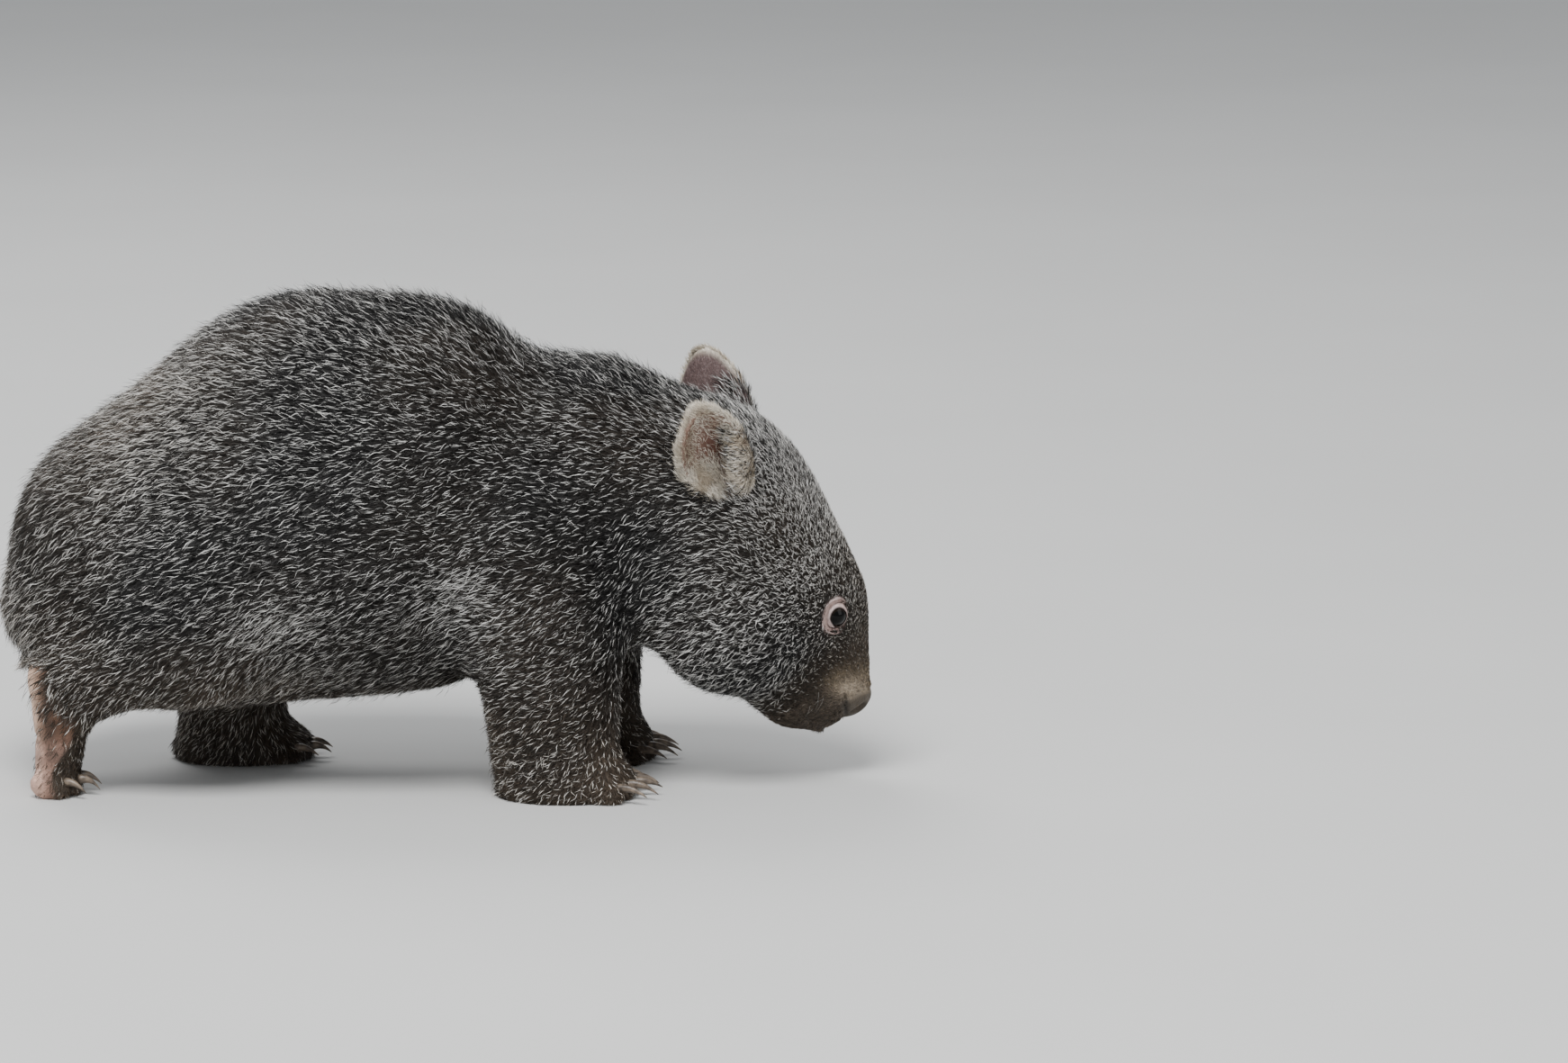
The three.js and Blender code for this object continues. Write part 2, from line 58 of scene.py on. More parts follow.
rng = np.random.default_rng(SEED)

# The head's own frame: X runs from the crown to the nose, Z up through the forehead.
HEAD_AT = Vector((217.7, -3.0, 165.0)) * MM
HEAD_NOSE_DOWN = math.radians(52)
HEAD_ROLL = math.radians(6.5)
HEAD = (
    Matrix.Translation(HEAD_AT)
    @ Matrix.Rotation(HEAD_ROLL, 4, "X")
    @ Matrix.Rotation(HEAD_NOSE_DOWN, 4, "Y")
)
INTO_HEAD = HEAD.inverted()


# Small helpers


def unit(v):
    return v / np.maximum(np.linalg.norm(v, axis=-1, keepdims=True), 1e-12)


def smooth(low, high, x):
    """0 at low, 1 at high, and an S between them."""
    t = np.clip((x - low) / (high - low), 0, 1)
    return t * t * (3 - 2 * t)


def bump(x, middle, width):
    """1 at the middle, falling away to nothing over a few widths."""
    return np.exp(-(((x - middle) / width) ** 2))


def mixed(a, b, share):
    return a + (b - a) * share[:, None]


def patches(points, scale, seed):
    """A soft random field from -1 to 1, as a sum of waves in seeded directions."""
    waves = np.random.default_rng(seed)
    total = np.zeros(len(points))
    for _ in range(9):
        way = unit(waves.normal(size=3)) * scale * waves.uniform(0.6, 1.6)
        total += np.sin(points @ way + waves.uniform(0, 6.3))
    return np.clip(total / 3.2, -1, 1)


def moved_by(matrix, points):
    m = np.array(matrix)
    return points @ m[:3, :3].T + m[:3, 3]


def box_centre(node):
    low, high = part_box(node)
    return (low + high) / 2


def coordinates(mesh):
    flat = np.empty(len(mesh.vertices) * 3)
    mesh.vertices.foreach_get("co", flat)
    return flat.reshape(-1, 3)


def normals(mesh):
    flat = np.empty(len(mesh.vertices) * 3)
    mesh.vertex_normals.foreach_get("vector", flat)
    return flat.reshape(-1, 3)


def set_coordinates(mesh, points):
    mesh.vertices.foreach_set("co", points.astype(np.float32).ravel())
    mesh.update()


def triangles(mesh):
    """Each triangle's vertices and its loops."""
    mesh.calc_loop_triangles()
    corners = np.empty(len(mesh.loop_triangles) * 3, np.int32)
    mesh.loop_triangles.foreach_get("vertices", corners)
    loops = np.empty(len(mesh.loop_triangles) * 3, np.int32)
    mesh.loop_triangles.foreach_get("loops", loops)
    return corners.reshape(-1, 3), loops.reshape(-1, 3)


def tree_of(mesh):
    return BVHTree.FromPolygons(coordinates(mesh).tolist(), triangles(mesh)[0].tolist())


def new_object(name, mesh, look=None):
    obj = bpy.data.objects.new(name, mesh)
    bpy.context.scene.collection.objects.link(obj)
    if look:
        mesh.materials.append(look)
    return obj


def mesh_from(name, points, faces):
    """A mesh from arrays, where each row of faces holds one face's three or four corners."""
    mesh = bpy.data.meshes.new(name)
    mesh.vertices.add(len(points))
    mesh.vertices.foreach_set("co", np.asarray(points, np.float32).ravel())
    mesh.loops.add(faces.size)
    mesh.loops.foreach_set("vertex_index", faces.astype(np.int32).ravel())
    mesh.polygons.add(len(faces))
    mesh.polygons.foreach_set("loop_start", np.arange(0, faces.size, faces.shape[1], dtype=np.int32))
    mesh.update(calc_edges=True)
    return mesh


def grid_faces(rows, columns, closed):
    """The faces of a grid of points, row by row, where closed says that the last column meets the first."""
    r, c = np.meshgrid(np.arange(rows - 1), np.arange(columns - (not closed)), indexing="ij")
    r, c = r.ravel(), c.ravel()
    n = (c + 1) % columns
    return np.column_stack([r * columns + c, r * columns + n, (r + 1) * columns + n, (r + 1) * columns + c])


def shade_smooth(mesh):
    mesh.polygons.foreach_set("use_smooth", np.ones(len(mesh.polygons), bool))
    mesh.update()


def set_colours(mesh, colours):
    """A colour for each vertex."""
    layer = mesh.color_attributes.new("colour", "FLOAT_COLOR", "POINT")
    rgba = np.ones((len(mesh.vertices), 4), np.float32)
    rgba[:, :3] = colours
    layer.data.foreach_set("color", rgba.ravel())


def add_piece(name, mesh, look, slot, *nodes):
    obj = new_object(name, mesh, look)
    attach(obj, "root")
    if nodes:
        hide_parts(*nodes)
    return obj


# The coat's map: what the coat does round each named place of the body. Places are in millimetres, with y
# as the distance from the middle, and reach is how far a place's say goes. Way is the lie of the hair,
# length and depth are in millimetres, pale multiplies the share of silver-tipped hairs, and brown is how
# warm the ground colour is.
COAT_MAP = [
    # place, reach, way, length, depth, pale, brown
    ((308, 0, 92), 20, (-0.5, 0.0, 0.85), 3.4, 0.7, 0.45, 0.9),  # bridge of the nose
    ((282, 34, 70), 24, (-0.7, 0.3, 0.3), 3.2, 0.7, 0.03, 0.8),  # side of the muzzle
    ((262, 20, 38), 24, (-0.9, 0.1, -0.3), 5.0, 1.2, 0.14, 0.6),  # chin
    ((300, 18, 150), 28, (-0.5, 0.1, 0.85), 5.0, 1.6, 0.80, 0.6),  # between the eyes
    ((286, 48, 120), 18, (-0.8, 0.3, 0.5), 4.0, 1.0, 0.40, 0.6),  # round the eye
    ((272, 25, 205), 38, (-0.6, 0.1, 0.8), 7.0, 2.6, 1.85, 0.2),  # forehead
    ((235, 30, 262), 38, (-0.9, 0.1, 0.45), 10.0, 4.0, 1.35, 0.1),  # crown
    ((245, 70, 195), 40, (-0.85, 0.2, 0.45), 8.0, 3.4, 0.80, 0.2),  # temple
    ((250, 72, 120), 42, (-0.97, 0.25, -0.1), 7.5, 3.4, 0.62, 0.1),  # cheek
    ((205, 72, 85), 44, (-0.8, 0.2, -0.6), 13.0, 6.0, 0.46, 0.1),  # jowl
    ((185, 0, 90), 44, (-0.8, 0.1, -0.6), 15.0, 6.0, 0.40, 0.2),  # throat
    ((160, 0, 295), 46, (-0.95, 0.0, 0.3), 15.0, 7.5, 0.60, 0.1),  # nape
    ((150, 88, 200), 54, (-0.95, 0.05, -0.3), 13.0, 6.0, 0.24, 0.05),  # side of the neck
    ((70, 0, 308), 60, (-0.95, 0.0, 0.3), 17.0, 8.5, 0.40, 0.05),  # withers
    ((70, 95, 215), 66, (-0.97, 0.0, -0.2), 13.0, 6.0, 0.19, 0.05),  # shoulder
    # painted highlight: extra pale hairs behind the elbow
    ((24, 105, 151), 24, (-0.97, 0.0, -0.1), 14.0, 6.5, 1.30, 0.05),  # behind the elbow
    ((-60, 0, 354), 90, (-1.0, 0.0, 0.1), 17.0, 8.0, 0.40, 0.1),  # loin
    ((-50, 112, 230), 90, (-0.97, 0.0, -0.2), 13.0, 6.0, 0.24, 0.05),  # flank
    ((-40, 112, 120), 60, (-0.95, 0.0, -0.35), 14.0, 6.0, 0.34, 0.1),  # lower flank
    # painted highlight: extra pale hairs at the fold of the thigh
    ((-98, 105, 119), 24, (-0.95, 0.0, -0.2), 15.0, 6.5, 1.40, 0.1),  # fold of the thigh
    ((-40, 0, 55), 80, (-1.0, 0.0, 0.0), 15.0, 5.0, 0.30, 0.4),  # belly
    ((-215, 60, 290), 56, (-0.94, 0.0, -0.3), 15.0, 7.0, 0.95, 0.5),  # upper rump
    ((-290, 60, 190), 70, (-0.75, 0.0, -0.65), 17.0, 7.5, 0.19, 0.25),  # rump
    ((-306, 0, 125), 34, (-0.5, 0.0, -0.85), 19.0, 9.0, 0.85, 0.6),  # round the tail
    ((-296, 56, 112), 34, (-0.75, 0.0, -0.65), 20.0, 9.0, 0.85, 0.6),  # back of the thigh
    ((-175, 116, 150), 66, (-0.93, 0.0, -0.35), 14.0, 6.0, 0.28, 0.1),  # thigh
    ((85, 104, 110), 54, (-0.95, 0.0, -0.25), 11.0, 5.0, 0.32, 0.15),  # upper foreleg
    ((90, 95, 45), 38, (-0.85, 0.0, -0.5), 9.0, 3.4, 0.24, 0.5),  # lower foreleg
    ((90, 40, 60), 40, (-0.5, -0.1, -0.8), 10.0, 4.0, 0.16, 0.6),  # inside of the foreleg
    ((-235, 95, 80), 40, (-0.8, 0.0, -0.6), 11.0, 4.5, 0.34, 0.4),  # hock
    ((-150, 70, 60), 50, (-0.3, 0.0, -0.95), 10.0, 3.6, 0.32, 0.7),  # lower hind leg
    ((-264, 62, 30), 30, (-0.2, 0.0, -0.95), 6.0, 2.0, 0.14, 0.7),  # right hind foot
    ((-110, 66, 18), 30, (0.9, 0.0, -0.4), 6.0, 2.0, 0.20, 0.8),  # left hind foot
    ((135, 68, 18), 30, (0.85, 0.0, -0.5), 6.0, 2.0, 0.08, 0.8),  # forefeet
]


def coat_at(points):
    """The coat's way, length, depth, share of pale hairs and brownness at points given in metres."""
    p = points / MM
    sided = np.column_stack([p[:, 0], np.abs(p[:, 1]), p[:, 2]])
    total = np.zeros((len(p), 1))
    sums = np.zeros((len(p), 7))
    for place, reach, way, *sizes in COAT_MAP:
        far2 = ((sided - place) ** 2).sum(axis=1, keepdims=True)
        weight = np.exp(-far2 / (2 * (0.8 * reach) ** 2)) + 1e-9 / (1 + far2)
        total += weight
        sums += weight * np.array([*way, *sizes])
    sums /= total
    sums[:, 1] *= np.sign(p[:, 1])
    return {
        "way": sums[:, :3],
        "length": sums[:, 3] * MM,
        "depth": sums[:, 4] * MM,
        "pale": sums[:, 5],
        "brown": sums[:, 6],
    }


# Landmarks of the face, in millimetres, and in the head's frame where nothing else is said

EYE_RADIUS = 9.6
OPENING_AHEAD = 6.5  # how far the lids' edges lie from the middle of the eye
OPENING_ABOVE = 7.4
OPENING_BELOW = 8.9
EYE_OUT = (0.36, 0.90, 0.26)  # the way an eye looks, forwards, outwards and up
EYE_UP = (-0.79, 0, 0.61)
EYE_SET_BACK = 1.1  # how far behind the eye's solid the eyeball's centre lies
EYE_DEEP = 18  # how far from the eyeball's centre its lids can be

EAR_AT = Vector((-79, 63, 40)) * MM
EAR_OUT = (0.34, 0.93, 0.1)
EAR_UP = (-0.93, 0, 0.34)
EAR_HALF = (27, 47)  # across and along the leaf

NOSE_AT = Vector((130, 0, -4)) * MM
NOSE_LEAN = math.radians(20)
NOSE = HEAD @ Matrix.Translation(NOSE_AT) @ Matrix.Rotation(-NOSE_LEAN, 4, "Y")
PAD_SLANT = 0.63  # how far the pad's rim runs forwards for each millimetre down
NOSTRIL_OFF = 12  # from the middle of the pad to the middle of a nostril
BRIDGE_HIGH = 108  # the middle of the nose's bridge over the floor

MOUTH_AT = Vector((92, 0, -31)) * MM
MOUTH_HALF = math.radians(92)  # how far the lips reach round the muzzle on each side
MOUTH_RAYS = 120 * MM  # how far out the rays start that find the lips


def facing(at, out, up):
    """A frame at a point of the head, in the head's own directions: X runs along out, and Z near to up."""
    x = Vector(out).normalized()
    y = Vector(up).cross(x).normalized()
    turn = Matrix((x, y, x.cross(y))).transposed().to_4x4()
    return HEAD @ Matrix.Translation(at) @ turn


def eye_frame(side):
    """A frame at the eyeball's centre, whose X looks out of the face and Z up it."""
    forwards, outwards, up = EYE_OUT
    out = Vector((forwards, SIDES[side] * outwards, up)).normalized()
    at = INTO_HEAD @ box_centre("eye_" + side) - out * EYE_SET_BACK * MM
    return facing(at, out, EYE_UP)


def ear_frame(side):
    """A frame at the middle of an ear's leaf, whose X looks out of the cup and Z runs to its tip."""
    forwards, outwards, up = EAR_OUT
    at = Vector((EAR_AT.x, SIDES[side] * EAR_AT.y, EAR_AT.z))
    return facing(at, (forwards, SIDES[side] * outwards, up), EAR_UP)


def local_to(frame_at, side, points):
    """Millimetres out of a frame on one side of the face, forwards along the face and up it."""
    local = moved_by(frame_at.inverted(), points) / MM
    return local[:, 0], -SIDES[side] * local[:, 1], local[:, 2]


def in_nose(points):
    """Millimetres in the nose's frame: X out of the pad, Y to the animal's left and Z up the pad."""
    return (moved_by(NOSE.inverted(), points) / MM).T


def eye_opening(angle):
    """Where the lids' edges run, in millimetres forwards and up, by the angle round the eye. The inner
    corner points down the muzzle."""
    c, v = np.cos(angle), np.sin(angle)
    below = np.maximum(0, -v)
    forwards = OPENING_AHEAD * c * (1 - 0.58 * below**1.3) + 0.3 * below**2
    return forwards, np.where(v > 0, OPENING_ABOVE, OPENING_BELOW) * v


def lid_reach(angle):
    """How far the bare skin goes past the lids' edges: widest above and behind the eye."""
    c, v = np.cos(angle), np.sin(angle)
    return 4.4 + 2.4 * np.maximum(0, v) ** 1.5 + 3.4 * np.maximum(0, -c) ** 1.5 - 2.2 * np.maximum(0, c) ** 2


def eye_ring(points, side):
    """0 at the lids' edges and 1 where the hair begins, and 9 on other parts of the body."""
    out, forwards, up = local_to(eye_frame(side), side, points)
    angle = np.arctan2(up, forwards)
    edge = np.hypot(*eye_opening(angle))
    ring = (np.hypot(forwards, up) - edge) / lid_reach(angle)
    ring = ring + 0.16 * patches(points, 700, 21) * smooth(0.5, 0.9, ring)
    return np.where(np.abs(out) < EYE_DEEP, ring, 9.0)


def nearest_eye_ring(points):
    return np.minimum(eye_ring(points, "right"), eye_ring(points, "left"))


def nose_pad(points):
    """1 on the bare pad of the nose and 0 off it, and how far out from its middle points lie, with 1 at
    its rim."""
    x, y, z = in_nose(points)
    rim = np.hypot(y / 22, (z + 3) / (12.5 + 0.15 * np.abs(y)))
    return smooth(1.08, 0.94, rim) * smooth(-2, 1, x + PAD_SLANT * z), rim


def on_bridge(points):
    """1 on the straight bridge of the nose, fading towards the forehead, the pad and the eyes."""
    x, y, z = (points / MM).T
    return bump(np.hypot(y / 25, (z - BRIDGE_HIGH) / 34), 0, 1) * smooth(275, 295, x)


def nostril(points):
    """1 in the depth of each nostril, a slit on the corner of the pad that slants outwards and up."""
    x, y, z = in_nose(points)
    off, rise = np.abs(y) - NOSTRIL_OFF, z + 3
    across = off * 0.9 + rise * 0.4
    along = -off * 0.4 + rise * 0.9
    return smooth(1.3, 0.4, np.hypot(across / 2.8, (along - 0.14 * across**2) / 5.6)) * smooth(3, 6, x)


def nose_groove(points):
    """1 in the groove that parts the side of the pad from the lip."""
    x, y, z = in_nose(points)
    height = smooth(-18, -11, z) * smooth(9, 2, z)
    return bump(x + PAD_SLANT * z, -1, 1.9) * height * smooth(9, 13, np.abs(y))


def mouth_line(tree):
    """Points along the line between the lips, on the skin."""
    found = []
    for share in np.linspace(-1, 1, 41):
        turn = MOUTH_HALF * share
        way = Vector((math.cos(turn), math.sin(turn), -0.12 * share * share)).normalized()
        hit, *_ = tree.ray_cast(HEAD @ (MOUTH_AT + way * MOUTH_RAYS), -(HEAD.to_3x3() @ way))
        if hit:
            found.append(hit)
    return np.array(found)


def away_from_line(points, line):
    """The least distance from each point to a chain of points."""
    best = np.full(len(points), 1.0)
    for a, b in zip(line[:-1], line[1:]):
        along = b - a
        t = np.clip((points - a) @ along / (along @ along), 0, 1)
        best = np.minimum(best, np.linalg.norm(points - a - t[:, None] * along, axis=1))
    return best


# Landmarks of the raised right hind foot, in millimetres of the whole frame

SOLE_TOP = 97
SOLE_LEFT = -19  # the sole ends here towards the middle of the body
TOES_AT = -59.5
TOE_OFFS = (-17, -6, 6, 17)


def raised_sole(points, way):
    """1 on the bare sole of the right hind foot, which faces back as the foot stands on its toes."""
    x, y, z = points.T / MM
    edge = -259 - 0.17 * (z - 35) + 20 * bump(z, 46, 22)
    back = smooth(2.5, -2.5, x - edge) * smooth(0.2, -0.1, way[:, 0] - 0.5 * bump(z, 50, 30))
    return back * smooth(SOLE_TOP + 4, SOLE_TOP - 3, z) * smooth(SOLE_LEFT + 3, SOLE_LEFT - 3, y)


def sole_front(points):
    """1 on the front half of the raised sole, where it is brown and thinly haired."""
    return smooth(-286, -270, points[:, 0] / MM)


def toe_pads(points):
    """The swell of the four toe pads below that sole."""
    _, y, z = points.T / MM
    swell = sum(bump(y, TOES_AT + off, 4.2) for off in TOE_OFFS)
    return swell * bump(z, 21, 13)


# The skin

VOXEL = 3.15 * MM
EAR_NEAR = 4 * MM  # how near to an ear's solid the skin counts as ear
EAR_CLEAR = 1.5 * MM  # and how much nearer than to the head's
MUZZLE_FROM = 74 * MM  # in front of this the skin has smaller faces


def joined_flesh():
    """All nodes of flesh as one closed mesh."""
    bm = bmesh.new()
    for name in FLESH:
        bm.from_mesh(NODES[name].data)
    mesh = bpy.data.meshes.new("flesh")
    bm.to_mesh(mesh)
    bm.free()
    obj = new_object("flesh", mesh)
    remesh = obj.modifiers.new("remesh", "REMESH")
    remesh.mode = "VOXEL"
    remesh.voxel_size = VOXEL
    depsgraph = bpy.context.evaluated_depsgraph_get()
    made = bpy.data.meshes.new_from_object(obj.evaluated_get(depsgraph))
    bpy.data.objects.remove(obj)
    return made


def relaxed(mesh, points, weights, rounds):
    """Points after rounds of moving towards the mean of their neighbours, by each point's weight."""
    flat = np.empty(len(mesh.edges) * 2, np.int32)
    mesh.edges.foreach_get("vertices", flat)
    a, b = flat.reshape(-1, 2).T
    count = np.maximum(np.bincount(flat, minlength=len(points)), 1)
    for _ in range(rounds):
        sums = [
            np.bincount(a, points[b, k], len(points)) + np.bincount(b, points[a, k], len(points))
            for k in range(3)
        ]
        points = points + weights[:, None] * (np.column_stack(sums) / count[:, None] - points)
    return points


def on_ear(points, side):
    """1 for points on an ear and 0 for those on the head."""
    ear, head = tree_of(NODES["ear_" + side].data), tree_of(NODES["head"].data)
    low, high = (np.array(corner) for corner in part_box("ear_" + side))
    mask = np.zeros(len(points))
    for i in np.where(((points > low - EAR_NEAR) & (points < high + EAR_NEAR)).all(axis=1))[0]:
        to_ear = ear.find_nearest(Vector(points[i]))[3]
        to_head = head.find_nearest(Vector(points[i]))[3]
        mask[i] = to_ear < EAR_NEAR and to_head > to_ear + EAR_CLEAR
    return mask


def refined(mesh, chosen):
    """Splits in four each face that has all its corners chosen."""
    bm = bmesh.new()
    bm.from_mesh(mesh)
    edges = [e for e in bm.edges if chosen[e.verts[0].index] and chosen[e.verts[1].index]]
    bmesh.ops.subdivide_edges(bm, edges=edges, cuts=1, use_grid_fill=True)
    bm.to_mesh(mesh)
    bm.free()


def make_skin():
    """The skin's mesh, and how much of it is ear on each side."""
    mesh = joined_flesh()
    points = coordinates(mesh)
    ears = np.maximum(on_ear(points, "right"), on_ear(points, "left"))
    weights = 0.5 * (1 - 0.75 * ears) * smooth(0, 6 * MM, points[:, 2])
    points = relaxed(mesh, points, weights, 6)
    set_coordinates(mesh, points)

    depth = coat_at(points)["depth"] * (1 - ears) + 0.6 * MM * ears
    depth *= smooth(0, 18 * MM, points[:, 2]) * (1 - nose_pad(points)[0])
    depth *= 1 - 0.8 * raised_sole(points, normals(mesh))
    points = points - normals(mesh) * depth[:, None]
    set_coordinates(mesh, relaxed(mesh, points, weights * 0.6, 3))

    points = coordinates(mesh)
    muzzle = moved_by(INTO_HEAD, points)[:, 0] > MUZZLE_FROM
    refined(mesh, muzzle | (nearest_eye_ring(points) < 1.6) | (ears > 0))
    points = coordinates(mesh)
    ears = {side: on_ear(points, side) for side in SIDES}
    sculpt(mesh, ears)
    shade_smooth(mesh)
    return mesh, ears


def tapered_ear(mesh, points, share, side):
    """Points with one ear's leaf drawn in towards its base, and a little towards its tip."""
    soft = relaxed(mesh, np.repeat(share[:, None], 3, axis=1), np.full(len(points), 0.8), 5)[:, 0]
    _, forwards, up = local_to(ear_frame(side), side, points)
    narrow = 0.42 * smooth(-2, -44, up) + 0.2 * smooth(12, 47, up)
    ahead = -SIDES[side] * np.array(ear_frame(side).col[1][:3])
    return points + ahead * (soft * narrow * (7 - forwards) * MM)[:, None]


SOCKET_DEEP = 5.5  # how far the finer forms go into the skin, in millimetres
SLIT_DEEP = 4.5
NOSTRIL_DEEP = 5.5
GROOVE_DEEP = 2.4
LIPS_DEEP = 2.4
BRIDGE_RISE = 4.4
TOE_RISE = 2.2


def sculpt(mesh, ears):
    """Cuts the finer forms into the skin, along its inward normal."""
    points, way = coordinates(mesh), normals(mesh)
    sink = np.zeros(len(points))

    for side in SIDES:
        ring = eye_ring(points, side)
        sink += 1.8 * smooth(1.12, 0.85, ring) + SOCKET_DEEP * smooth(0.25, -0.25, ring)

        _, forwards, up = local_to(ear_frame(side), side, points)
        inner = ears[side] * smooth(0.1, 0.4, way @ np.array(ear_frame(side).col[0][:3]))
        low = smooth(8, -6, up) * smooth(-40, -30, up)
        sink += SLIT_DEEP * inner * low * bump(forwards, 7.0 + 0.08 * up, 3.2)
        sink += 1.8 * inner * bump(np.hypot(forwards - 2, (up - 4) / 1.8), 0, 7)
        sink -= 1.6 * ears[side] * bump(forwards, 17, 5) * smooth(20, 2, up)

    sink -= BRIDGE_RISE * on_bridge(points)
    pad, rim = nose_pad(points)
    x, y, z = in_nose(points)
    sink += NOSTRIL_DEEP * nostril(points) * (pad > 0)
    sink += GROOVE_DEEP * nose_groove(points)
    sink += 0.7 * bump(rim, 1.05, 0.07) * smooth(-2, 3, x)
    sink += 1.5 * bump(y, 0, 1.2) * smooth(4, -4, z) * smooth(-30, -24, z) * smooth(0, 4, x)
    line = mouth_line(tree_of(mesh))
    sink += LIPS_DEEP * bump(away_from_line(points, line) / MM, 0, 1.5)

    for side in SIDES:
        points = tapered_ear(mesh, points, ears[side], side)
    bare = raised_sole(points, way)
    sink -= TOE_RISE * bare * toe_pads(points)
    sink += 1.6 * bare * bump(points[:, 2] / MM, 42, 2.4)
    sink -= 1.8 * bare * bump(points[:, 2] / MM, 84, 12)
    set_coordinates(mesh, points - way * (sink * MM)[:, None])


# Colours, as linear red, green and blue

DARK = np.array([0.007, 0.0065, 0.0065])
BROWN = np.array([0.062, 0.044, 0.029])
SILVER = np.array([0.92, 0.91, 0.88])
TAN = np.array([0.66, 0.56, 0.43])
LID = np.array([0.74, 0.59, 0.56])  # the palest bare skin, behind the eye
BROW = np.array([0.38, 0.27, 0.24])  # and the rest of it
NOSE_SKIN = np.array([0.040, 0.028, 0.016])
# pink skin beside the nose, brightened as a painted highlight above the pad
PINK_SKIN_AND_HIGHLIGHT = np.array([0.44, 0.36, 0.27])
VELVET = np.array([0.075, 0.058, 0.043])
BRIDGE = np.array([0.155, 0.118, 0.075])
# pink bare skin of the sole, brightened as a painted highlight on its sunlit back edge
SOLE = np.array([0.88, 0.58, 0.42])
SOLE_FRONT = np.array([0.12, 0.058, 0.032])
TOE_PAD = np.array([0.52, 0.33, 0.27])
EAR_SKIN = np.array([0.23, 0.13, 0.095])
EAR_BACK = np.array([0.122, 0.082, 0.078])
# painted shade for the ear's deep cup and slit
CUP_SHADE = np.array([0.13, 0.055, 0.038])
CREAM = np.array([0.80, 0.74, 0.64])


def ground_colour(points, coat):
    """The dark colour of the coat's hair, the same for skin and tufts."""
    brown = np.clip(coat["brown"] + 0.16 * patches(points, 60, 3), 0, 1)
    tone = 1 + 0.18 * patches(points, 130, 4)
    return mixed(DARK, BROWN, brown) * tone[:, None]


def muzzle_share(points):
    """1 on the velvet of the muzzle, fading into the coat."""
    x, _, z = in_nose(points)
    return smooth(-34, -10, x - 0.4 * z) * smooth(34, 16, z)


def beside_nose(points):
    """1 on the thinly haired pink skin behind and above the pad, where a painted highlight also lies."""
    x, y, z = in_nose(points)
    return bump(np.hypot((x + 2) / 11, (z - 9) / 8), 0, 1) * smooth(4, 12, np.abs(y))


def muzzle_colour(points):
    """Brown velvet on the lips, tan on the bridge, and pink beside the nose, lightened there by a painted
    highlight.
    """
    x, _, z = in_nose(points)
    colour = mixed(np.tile(VELVET, (len(points), 1)), BRIDGE, smooth(0, 10, z) * smooth(-44, -20, x))
    colour = colour * (1 + 0.25 * patches(points, 300, 23))[:, None]
    return mixed(colour, PINK_SKIN_AND_HIGHLIGHT, 0.85 * beside_nose(points))


def ear_zones(points, way, side):
    """Shares of the ear's inner side, its rim and its deep middle at points."""
    _, forwards, up = local_to(ear_frame(side), side, points)
    inner = smooth(0.0, 0.35, way @ np.array(ear_frame(side).col[0][:3]))
    rim = smooth(0.80, 0.95, np.hypot(forwards / EAR_HALF[0], up / EAR_HALF[1]))
    rim = rim * (1 - smooth(0, 12, forwards) * smooth(26, 6, up)) * smooth(-42, -26, up)
    slit = bump(forwards, 7.0 + 0.08 * up, 4.2) * smooth(10, -6, up) * smooth(-40, -28, up)
    deep = np.maximum(bump(np.hypot(forwards - 3, (up - 6) / 2.0), 0, 7.5), slit)
    return inner, rim, deep * inner * (1 - rim)


def sole_colour(points):
    """Pink at the back edge, brightened there as a painted highlight, and on the toe pads, and brown in
    front.
    """
    front = sole_front(points)
    colour = mixed(SOLE, SOLE_FRONT, front)
    colour = mixed(colour, TOE_PAD, smooth(52, 32, points[:, 2] / MM) * (1 - 0.7 * front))
    return colour * (1 + 0.3 * patches(points, 420, 5))[:, None]


def skin_colours(points, way, ears):
    coat = coat_at(points)
    colour = ground_colour(points, coat)
    colour = mixed(colour, colour * 1.2 + 0.004, np.clip(coat["pale"], 0, 1))
    colour = mixed(colour, muzzle_colour(points), muzzle_share(points))
    colour = mixed(colour, BROW, smooth(1.3, 0.9, nearest_eye_ring(points)))
    pad, _ = nose_pad(points)
    mottled = NOSE_SKIN * (1 + 0.35 * patches(points, 380, 22))[:, None]
    # the pad's upper side takes a little of that pink, partly a painted highlight
    colour = mixed(colour, mixed(mottled, PINK_SKIN_AND_HIGHLIGHT, 0.12 * beside_nose(points)), pad)
    # painted shade: the nostrils and the groove beside the pad are darkened in colour
    hollow_shade = np.maximum(nostril(points) * (pad > 0), 0.7 * nose_groove(points))
    colour = mixed(colour, colour * 0.12, hollow_shade)
    for side in SIDES:
        inner, rim, deep = ear_zones(points, way, side)
        # painted shade: the ear's deep cup and slit take a darker colour
        ear = mixed(mixed(EAR_BACK, EAR_SKIN, inner), CUP_SHADE, deep)
        colour = mixed(colour, mixed(ear, CREAM * 0.7, rim * 0.6), ears[side])
    under = smooth(4, 1.5, points[:, 2] / MM)
    colour = mixed(colour, SOLE * 0.3, under)
    return mixed(colour, sole_colour(points), raised_sole(points, way))


# Materials


def new_look(name, roughness, **sockets):
    made = bpy.data.materials.new(name)
    made.use_nodes = True
    shader = made.node_tree.nodes["Principled BSDF"]
    shader.inputs["Roughness"].default_value = roughness
    for socket, value in sockets.items():
        shader.inputs[socket.replace("_", " ")].default_value = value
    return made, made.node_tree, shader


def vertex_colour(tree):
    source = tree.nodes.new("ShaderNodeAttribute")
    source.attribute_name = "colour"
    return source.outputs["Color"]


